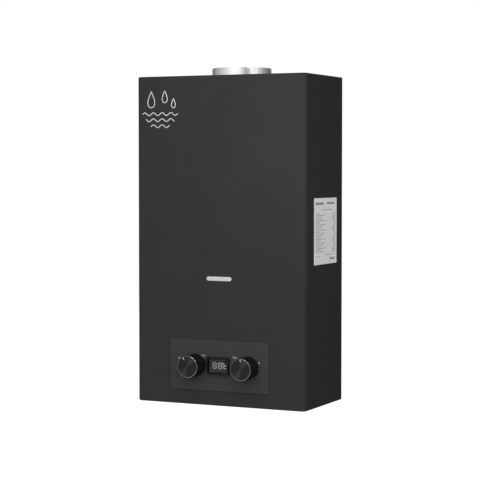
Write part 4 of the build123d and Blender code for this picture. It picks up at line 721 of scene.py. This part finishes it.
# Cover screws
# Two plated pan-head screws with a cross recess, driven up through the cover's front strip.
# They tie the cover to the bottom plate.
SCREW_PLACES = (-100.0, 100.0)
SCREW_Y = -157.0
SCREW_FACE = -300.0
SCREW_TURNS = 96
SCREW_RINGS = 40
SCREW_HEAD_R = 4.2
SCREW_HEAD_T = 2.2
SCREW_RIM_T = 0.6
SCREW_SHANK_R = 2.0
SCREW_SHANK_L = 8.0
CROSS_L = 2.4
CROSS_W = 0.55
CROSS_DEEP = 1.1
CROSS_SIDE_SLOPE = 0.1
CROSS_END_SLOPE = 0.3
# Directions of right, up and out on the underside.
UNDERSIDE = ((1.0, 0.0, 0.0), (0.0, -1.0, 0.0), (0.0, 0.0, -1.0))
PLATED_DARK = (0.46, 0.46, 0.47)
PLATED_LIGHT = (0.64, 0.64, 0.65)


def screw_grid():
    """Polar grid: shank and rear of the head first, then a dome whose height is a quarter ellipse
    of the radius, less a cross that fades in over its slopes where either arm's width and length
    allow."""
    angle = np.linspace(0.0, 2.0 * np.pi, SCREW_TURNS + 1)
    shank = [(0.0, -SCREW_SHANK_L), (SCREW_SHANK_R, -SCREW_SHANK_L), (SCREW_SHANK_R, 0.0),
             (SCREW_HEAD_R, 0.0), (SCREW_HEAD_R, SCREW_RIM_T)]
    radii = np.linspace(SCREW_HEAD_R, 0.0, SCREW_RINGS)[1:]
    crown = np.sqrt(1.0 - (radii / SCREW_HEAD_R) ** 2)
    dome = SCREW_RIM_T + (SCREW_HEAD_T - SCREW_RIM_T) * crown
    rows = np.concatenate([shank, np.stack([radii, dome], axis=-1)])
    x = rows[:, :1] * np.cos(angle)
    y = rows[:, :1] * np.sin(angle)
    narrow = np.minimum(np.abs(x), np.abs(y))
    long = np.maximum(np.abs(x), np.abs(y))
    cross = np.clip((CROSS_W - narrow) / CROSS_SIDE_SLOPE, 0.0, 1.0)
    cross = cross * np.clip((CROSS_L - long) / CROSS_END_SLOPE, 0.0, 1.0)
    cross[:len(shank)] = 0.0
    return np.stack([x, y, rows[:, 1:] - CROSS_DEEP * cross], axis=-1)


plated_steel = mottled("plated_steel", PLATED_DARK, PLATED_LIGHT, rough=0.24, grain=4.0,
                       depth=0.008, metal=1.0)
screws = []
for x in SCREW_PLACES:
    screws += set_on([screw_grid()], (x, SCREW_Y, SCREW_FACE), UNDERSIDE)
build("cover_screws_crossed", screws, plated_steel, "chassis", ("cover_screws",))


# Battery door
# Moulded lid under the battery box, hinged at its rear on a steel pin, with grip ribs at the front.
# It snaps shut over the hatch.
DOOR_X = -112.0
DOOR_FACE = -299.7
RIB_FRONT = -143.0
RIB_STEP = 5.0
RIB_COUNT = 5
RIB_HALF = 22.0
RIB_W = 1.8
RIB_H = 0.8


def rib_line(row, steps=25):
    """Straight line across the door, one step behind the last for each row."""
    across = np.linspace(-RIB_HALF, RIB_HALF, steps)
    return np.stack([across, np.full(steps, -RIB_FRONT - RIB_STEP * row)], axis=-1)


ribs = [ribbon(rib_line(row), RIB_W, RIB_H) for row in range(RIB_COUNT)]
build("battery_door_ribs", set_on(ribs, (DOOR_X, 0.0, DOOR_FACE), UNDERSIDE), box_moulding,
      "battery_door")


# Control panel
# Satin black moulding that clips to the cover with four pegs, with printed marks beside the knobs.
# One flame and three flames stand by the gas knob, three drops and one drop by the water knob.
PANEL_FACE = -174.2
PANEL_DARK = (0.0480, 0.0480, 0.0482)
PANEL_LIGHT = (0.0510, 0.0510, 0.0512)
MARK_T = 0.08
MARK_SOFT = 0.05
MARK_DARK = (0.26, 0.26, 0.26)
MARK_LIGHT = (0.32, 0.32, 0.32)
MARK_HALF_H = 2.3
MARK_STEP = 3.0
FLAME_LEAN = 0.6
# Middle (x, z) of each row of marks, how many it has, half their width and the lean of their tips.
MARK_ROWS = ((-80.8, -215.2, 1, 1.9, FLAME_LEAN), (-31.5, -208.7, 3, 1.35, FLAME_LEAN),
             (32.5, -209.4, 3, 1.35, 0.0), (80.8, -216.7, 1, 1.7, 0.0))


def mark_row(x, z, count, half_w, lean):
    """Drops or leaning flames side by side, one step apart about the row's middle."""
    middles = [x + MARK_STEP * (k - (count - 1) / 2.0) for k in range(count)]
    return [slab(drop_outline(middle, z, half_w, MARK_HALF_H, lean), MARK_T, MARK_SOFT)
            for middle in middles]


mark_ink = mottled("mark_ink", MARK_DARK, MARK_LIGHT, rough=0.5, grain=1.5, depth=0.006)
panel_moulding = mottled("panel_moulding", PANEL_DARK, PANEL_LIGHT, rough=0.46, grain=1.2,
                         depth=0.012, level=0.01)
dress(panel_moulding, "control_panel")
marks = [mark for row in MARK_ROWS for mark in mark_row(*row)]
build("dial_marks", set_on(marks, (0.0, PANEL_FACE, 0.0), FRONT), mark_ink, "chassis")


# Temperature display
# Two seven-segment digits and a degree sign on a grey block, behind a smoked lens in a gloss bezel.
# The bezel's neck goes through the panel and the cover to the circuit board.
BEZEL_DARK = (0.009, 0.009, 0.0093)
BEZEL_LIGHT = (0.013, 0.013, 0.0133)
BLOCK_DARK = (0.145, 0.145, 0.147)
BLOCK_LIGHT = (0.185, 0.185, 0.187)
BLOCK_FACE = -176.9
BLOCK_HALF_W = 17.6
BLOCK_HALF_H = 12.2
BLOCK_T = 0.15
BLOCK_R = 0.5
BLOCK_SOFT = 0.1
DISPLAY_Z = -226.6
DIGIT_X = (-6.6, 4.6)
DIGIT_Z = -225.75
DIGIT_W = 9.0
DIGIT_H = 12.2
SEGMENT_W = 2.2
SEGMENT_GAP = 0.35
SEGMENT_T = 0.1
SEGMENT_SOFT = 0.05
SIGN_X = 14.2
SIGN_Z = -227.9
SIGN_R = 2.8
SIGN_W = 1.5
SIGN_OPEN = 50.0
DOT_X = 10.8
DOT_Z = -221.6
DOT_R = 1.1
DOT_W = 0.9
SIGN_STEPS = 41
GLOW = (0.55, 0.56, 0.56)
GLOW_DARK = (0.42, 0.43, 0.43)
DIGIT_GLOW = 0.45
SIGN_GLOW = 0.95
SMOKE = (0.50, 0.50, 0.505)
SMEAR = 0.94
SMEAR_GRAIN = 6.0
LENS_ROUGH = (0.02, 0.08)
LENS_BEND = 1.05


def segment(x, z, length, upright):
    """Bar with pointed ends: six corners, turned a quarter for an upright segment, closed on its
    first point."""
    half, side = length / 2.0, SEGMENT_W / 2.0
    bar = np.array([(half, 0), (half - side, side), (side - half, side), (-half, 0),
                    (side - half, -side), (half - side, -side), (half, 0)])
    return (bar[:, ::-1] if upright else bar) + (x, z)


def digit(x):
    """Seven bars: three level ones at the bottom, middle and top, and four upright ones between
    them."""
    across = DIGIT_W - SEGMENT_W - SEGMENT_GAP
    rise = (DIGIT_H - SEGMENT_W) / 2.0
    level = [segment(x, DIGIT_Z + k * rise, across, False) for k in (-1, 0, 1)]
    side = (DIGIT_W - SEGMENT_W) / 2.0
    return level + [segment(x + s * side, DIGIT_Z + k * rise / 2.0, rise - SEGMENT_GAP, True)
                    for s in (-1, 1) for k in (-1, 1)]


def lit(name, glow):
    """White printed light guide, mottled a little, that gives out its own light."""
    made = mottled(name, GLOW_DARK, GLOW, rough=0.5, grain=1.5, depth=0.004)
    shader = made.node_tree.nodes["Principled BSDF"]
    shader.inputs["Emission Color"].default_value = (*GLOW, 1.0)
    shader.inputs["Emission Strength"].default_value = glow
    return made


def smoked_lens():
    """Clear grey glass; faint noise in the roughness stands for finger marks."""
    made, tree, shader = new_finish("smoked_lens", sum(LENS_ROUGH) / 2.0)
    shader.inputs["Transmission Weight"].default_value = 1.0
    shader.inputs["IOR"].default_value = LENS_BEND
    smear = noise(tree, object_place(tree), SMEAR_GRAIN)
    smeared = tuple(SMEAR * c for c in SMOKE)
    tree.links.new(shade(tree, smear, smeared, SMOKE), shader.inputs["Base Color"])
    tree.links.new(spread(tree, smear, *LENS_ROUGH), shader.inputs["Roughness"])
    return made


bezel_gloss = mottled("bezel_gloss", BEZEL_DARK, BEZEL_LIGHT, rough=0.25, grain=3.0, depth=0.006,
                      level=0.12)
digit_block = mottled("digit_block", BLOCK_DARK, BLOCK_LIGHT, rough=0.5, grain=2.0, depth=0.006,
                      level=0.05)
dress(bezel_gloss, "display_bezel")
dress(smoked_lens(), "display_lens")
block = slab(rounded(-BLOCK_HALF_W, BLOCK_HALF_W, DISPLAY_Z - BLOCK_HALF_H,
                     DISPLAY_Z + BLOCK_HALF_H, BLOCK_R), BLOCK_T, BLOCK_SOFT)
build("digit_block_face", set_on([block], (0.0, BLOCK_FACE, 0.0), FRONT), digit_block, "chassis")
digits = [slab(bar, SEGMENT_T, SEGMENT_SOFT) for x in DIGIT_X for bar in digit(x)]
open_ring = arc((SIGN_X, SIGN_Z), SIGN_R, SIGN_OPEN, 360.0 - SIGN_OPEN, SIGN_STEPS)
small_ring = arc((DOT_X, DOT_Z), DOT_R, 0.0, 360.0, SIGN_STEPS)
signs = [ribbon(open_ring, SIGN_W, SEGMENT_T), ribbon(small_ring, DOT_W, SEGMENT_T, closed=True)]
lit_place = (0.0, BLOCK_FACE - BLOCK_T, 0.0)
for name, grids, glow in (("display_digits", digits, DIGIT_GLOW),
                          ("display_signs", signs, SIGN_GLOW)):
    build(name, set_on(grids, lit_place, FRONT), lit(name + "_light", glow), "chassis")


# Knobs
# Black moulded barrels with straight knurling, each with a dark spun aluminium cap pressed in.
# The cap's edge is cut bright, and a white pointer is let into its face.
KNOBS = (("gas", -46.2, -27.0), ("water", 60.2, 0.0))
KNOB_Z = -226.6
KNOB_REAR = -174.8
CAP_REAR = -206.4
CAP_FACE = -209.4
KNOB_BASE_R = 20.6
KNOB_TOP_R = 20.0
KNURL_COUNT = 90
KNURL_DEEP = 0.5
KNURL_ROUND = 0.7
KNURL_STEPS = 6
GRIP_ROWS = 25
# Shares of the barrel's depth: its rounded foot, and where the teeth start, end and fade.
GRIP_FOOT = 0.05
TEETH_START = 0.10
TEETH_RISE = 0.06
TEETH_END = 0.97
TEETH_FALL = 0.05
RING_IN = 1.1
RING_EDGE = 1.0
FACE_DISH = 0.12
FACE_ROWS = 40
POINTER_W = 1.3
POINTER_L = 5.0
POINTER_TIP = 18.8
POINTER_T = 0.12
POINTER_R = 0.6
POINTER_SOFT = 0.06
POINTER_SINK = 0.05
GRIP_DARK = (0.006, 0.006, 0.0065)
GRIP_LIGHT = (0.012, 0.012, 0.0125)
SPUN_DARK = (0.022, 0.022, 0.0225)
SPUN_LIGHT = (0.037, 0.037, 0.0375)
CUT_DARK = (0.10, 0.10, 0.104)
CUT_LIGHT = (0.15, 0.15, 0.155)
SPUN_RINGS = 90.0
SPUN_SWING = 0.15
SPUN_RELIEF = 0.004
QUARTER_TURN = 0.25


def grip_grid():
    """Cone with a rounded foot carried round the axis; between plain bands at the foot and the
    front, a raised cosine of the angle is taken off the radius, so that the teeth end softly."""
    depth = KNOB_REAR - CAP_REAR
    share = np.linspace(0.0, 1.0, GRIP_ROWS)
    angle = np.linspace(0.0, 2.0 * np.pi, KNURL_STEPS * KNURL_COUNT + 1)
    cone = KNOB_BASE_R + (KNOB_TOP_R - KNOB_BASE_R) * share
    soft = np.clip(share / GRIP_FOOT, 0.0, 1.0)
    foot = np.sqrt(np.clip(1.0 - (1.0 - soft) ** 2, 0.0, 1.0)) - 1.0
    band = np.clip((share - TEETH_START) / TEETH_RISE, 0.0, 1.0)
    band = band * np.clip((TEETH_END - share) / TEETH_FALL, 0.0, 1.0)
    tooth = (0.5 + 0.5 * np.cos(KNURL_COUNT * angle)) ** KNURL_ROUND
    radius = (cone + foot)[:, None] - KNURL_DEEP * band[:, None] * tooth
    radius = np.concatenate([np.zeros_like(radius[:1]), radius, np.zeros_like(radius[:1])])
    out = np.concatenate([[0.0], depth * share, [depth]])
    rise = np.broadcast_to(out[:, None], radius.shape)
    return np.stack([radius * np.cos(angle), radius * np.sin(angle), rise], axis=-1)


def spun_metal(name, dark, light, rough, twist):
    """Fine rings from noise of the radius alone, read from the piece's own map, in colour,
    roughness and height; the shader's highlights are drawn out round the turn by the map's
    direction."""
    made, tree, shader = new_finish(name, rough, metal=1.0)
    shader.inputs["Anisotropic"].default_value = twist
    shader.inputs["Anisotropic Rotation"].default_value = QUARTER_TURN
    turn = tree.nodes.new("ShaderNodeTangent")
    turn.direction_type = "UV_MAP"
    turn.uv_map = "surface"
    tree.links.new(turn.outputs["Tangent"], shader.inputs["Tangent"])
    place = tree.nodes.new("ShaderNodeUVMap")
    place.uv_map = "surface"
    scale = tree.nodes.new("ShaderNodeMapping")
    scale.inputs["Scale"].default_value = (1.0, SPUN_RINGS, 1.0)
    tree.links.new(place.outputs["UV"], scale.inputs["Vector"])
    rings = noise(tree, scale.outputs["Vector"], 1.0, detail=2.0)
    tree.links.new(shade(tree, rings, dark, light), shader.inputs["Base Color"])
    swing = spread(tree, rings, (1.0 - SPUN_SWING) * rough, (1.0 + SPUN_SWING) * rough)
    tree.links.new(swing, shader.inputs["Roughness"])
    relief(tree, shader, rings, SPUN_RELIEF)
    return made


def face_profile():
    """Shallow dish: the height falls towards the middle by one less the square of the radius's
    share, as (radius, height)."""
    radius = np.linspace(0.0, KNOB_TOP_R - RING_IN, FACE_ROWS)
    front = CAP_REAR - CAP_FACE
    dish = front - FACE_DISH * (1.0 - (radius / radius[-1]) ** 2)
    return np.concatenate([np.stack([radius, dish], axis=-1), [(radius[-1], 0.0), (0.0, 0.0)]])


def edge_profile():
    """Rim of the cap: narrow lip, bright rounded edge and side, closed at the rear, as
    (radius, height)."""
    front = CAP_REAR - CAP_FACE
    inner = KNOB_TOP_R - RING_IN
    round_edge = arc((KNOB_TOP_R - RING_EDGE, front - RING_EDGE), RING_EDGE, 90.0, 0.0)
    rear = [(KNOB_TOP_R, 0.0), (inner, 0.0), (inner, front)]
    return np.concatenate([[(inner, front)], round_edge, rear])


knurled_grip = mottled("knurled_grip", GRIP_DARK, GRIP_LIGHT, rough=0.42, grain=2.0, depth=0.008,
                       level=0.1)
spun_face = spun_metal("spun_face", SPUN_DARK, SPUN_LIGHT, rough=0.6, twist=0.9)
bright_cut = spun_metal("bright_cut", CUT_DARK, CUT_LIGHT, rough=0.22, twist=0.4)
pointer_bar = slab(rounded(-POINTER_W / 2.0, POINTER_W / 2.0, POINTER_TIP - POINTER_L, POINTER_TIP,
                           POINTER_R), POINTER_T, POINTER_SOFT)
for side, x, pointer in KNOBS:
    body = side + "_knob"
    turn = np.radians(pointer)
    up = (np.sin(turn), 0.0, np.cos(turn))
    across = (np.cos(turn), 0.0, -np.sin(turn))
    cap_place = (x, CAP_REAR, KNOB_Z)
    build(body + "_grip", set_on([grip_grid()], (x, KNOB_REAR, KNOB_Z), FRONT), knurled_grip, body,
          (body + "_barrel",), corner=50.0)
    build(body + "_face", set_on([lathe(face_profile())], cap_place, FRONT), spun_face, body,
          (body + "_cap",))
    build(body + "_edge", set_on([lathe(edge_profile())], cap_place, FRONT), bright_cut, body,
          (body + "_cap",))
    build(body + "_pointer",
          set_on([pointer_bar], (x, CAP_FACE + POINTER_SINK, KNOB_Z), (across, up, FRONT[2])),
          white_ink, body)


# Floor
# Pale matt floor well below the heater, which hangs at wall height.
# Seen by the camera it is lifted to white, and it keeps the heater's shadow.
FLOOR_Z = -0.75
FLOOR_HALF = 6.0
FLOOR_TONE = 0.50
FLOOR_LIFT = 1.0


def seen_ray(tree):
    """One for rays from the camera, in gloss and through glass, and nought for rays that light matt
    surfaces."""
    path = tree.nodes.new("ShaderNodeLightPath")
    shown = path.outputs["Is Camera Ray"]
    for ray in ("Is Glossy Ray", "Is Transmission Ray"):
        either = tree.nodes.new("ShaderNodeMath")
        either.operation = "MAXIMUM"
        tree.links.new(shown, either.inputs[0])
        tree.links.new(path.outputs[ray], either.inputs[1])
        shown = either.outputs["Value"]
    return shown


floor_mesh = bpy.data.meshes.new("floor")
reach = np.array([(-1, -1), (1, -1), (1, 1), (-1, 1)], float) * FLOOR_HALF
floor_points = np.column_stack([reach, np.full(len(reach), FLOOR_Z)])
floor_mesh.from_pydata(floor_points.tolist(), [], [(0, 1, 2, 3)])
floor = bpy.data.objects.new("floor", floor_mesh)
bpy.context.scene.collection.objects.link(floor)
matt, floor_tree, floor_shader = new_finish("floor_matt", rough=0.9, level=0.1)
floor_shader.inputs["Base Color"].default_value = (FLOOR_TONE, FLOOR_TONE, FLOOR_TONE, 1.0)
floor_shader.inputs["Emission Color"].default_value = (1.0, 1.0, 1.0, 1.0)
floor_tree.links.new(spread(floor_tree, seen_ray(floor_tree), 0.0, FLOOR_LIFT),
                     floor_shader.inputs["Emission Strength"])
floor_mesh.materials.append(matt)


# Light
# White studio seen by the camera and in gloss and glass, with a softer even light on matt surfaces.
# Lamps in front, close by and on the left light the matt surfaces; two more show only in gloss.
AMBIENT = 0.10
# Name, place, width and height, power, and whether it lights matt surfaces or shows in gloss.
LAMPS = (("soft_key", (0.44, -1.25, 0.46), (2.4, 1.8), 27.6, True),
         ("corner_fill", (0.19, -0.33, 0.25), (0.1, 0.1), 0.08, True),
         ("left_fill", (-1.5, -0.05, 0.4), (1.0, 1.0), 9.0, True),
         ("gloss_strip", (-0.09, -1.6, 0.95), (0.7, 0.3), 20.0, False),
         ("gloss_side", (0.96, -0.68, 0.96), (0.5, 0.5), 12.0, False))
LAMP_AIM = (0.0, -0.172, 0.05)


def turned_to(place, aim):
    """Turn that points a lamp or camera at place towards aim."""
    return (Vector(aim) - Vector(place)).to_track_quat("-Z", "Y").to_euler()


world = bpy.data.worlds.new("studio")
world.use_nodes = True
bpy.context.scene.world = world
sky = world.node_tree
backdrop = sky.nodes["Background"]
backdrop.inputs["Color"].default_value = (1.0, 1.0, 1.0, 1.0)
sky.links.new(spread(sky, seen_ray(sky), AMBIENT, 1.0), backdrop.inputs["Strength"])
for name, place, size, power, lights_matt in LAMPS:
    lamp = bpy.data.lights.new(name, "AREA")
    lamp.shape = "RECTANGLE"
    lamp.size, lamp.size_y = size
    lamp.energy = power
    stand = bpy.data.objects.new(name, lamp)
    stand.location = place
    stand.visible_camera = False
    stand.visible_diffuse = lights_matt
    stand.visible_glossy = not lights_matt
    stand.visible_transmission = False
    stand.rotation_euler = turned_to(place, LAMP_AIM)
    bpy.context.scene.collection.objects.link(stand)


# Camera
# Long lens in front of the heater, to its right and a little above its middle.
# It looks almost level, so that upright edges stay nearly upright.
CAMERA_PLACE = (1.28329, -2.76661, 0.1328)
CAMERA_AIM = (0.05977, -0.2093, 0.00484)
CAMERA_LENS = 120.1
CAMERA_SENSOR = 36.0
view = bpy.data.cameras.new("camera")
view.lens = CAMERA_LENS
view.sensor_width = CAMERA_SENSOR
camera = bpy.data.objects.new("camera", view)
camera.location = CAMERA_PLACE
camera.rotation_euler = turned_to(CAMERA_PLACE, CAMERA_AIM)
bpy.context.scene.collection.objects.link(camera)
bpy.context.scene.camera = camera
bpy.context.scene.view_settings.view_transform = "Standard"
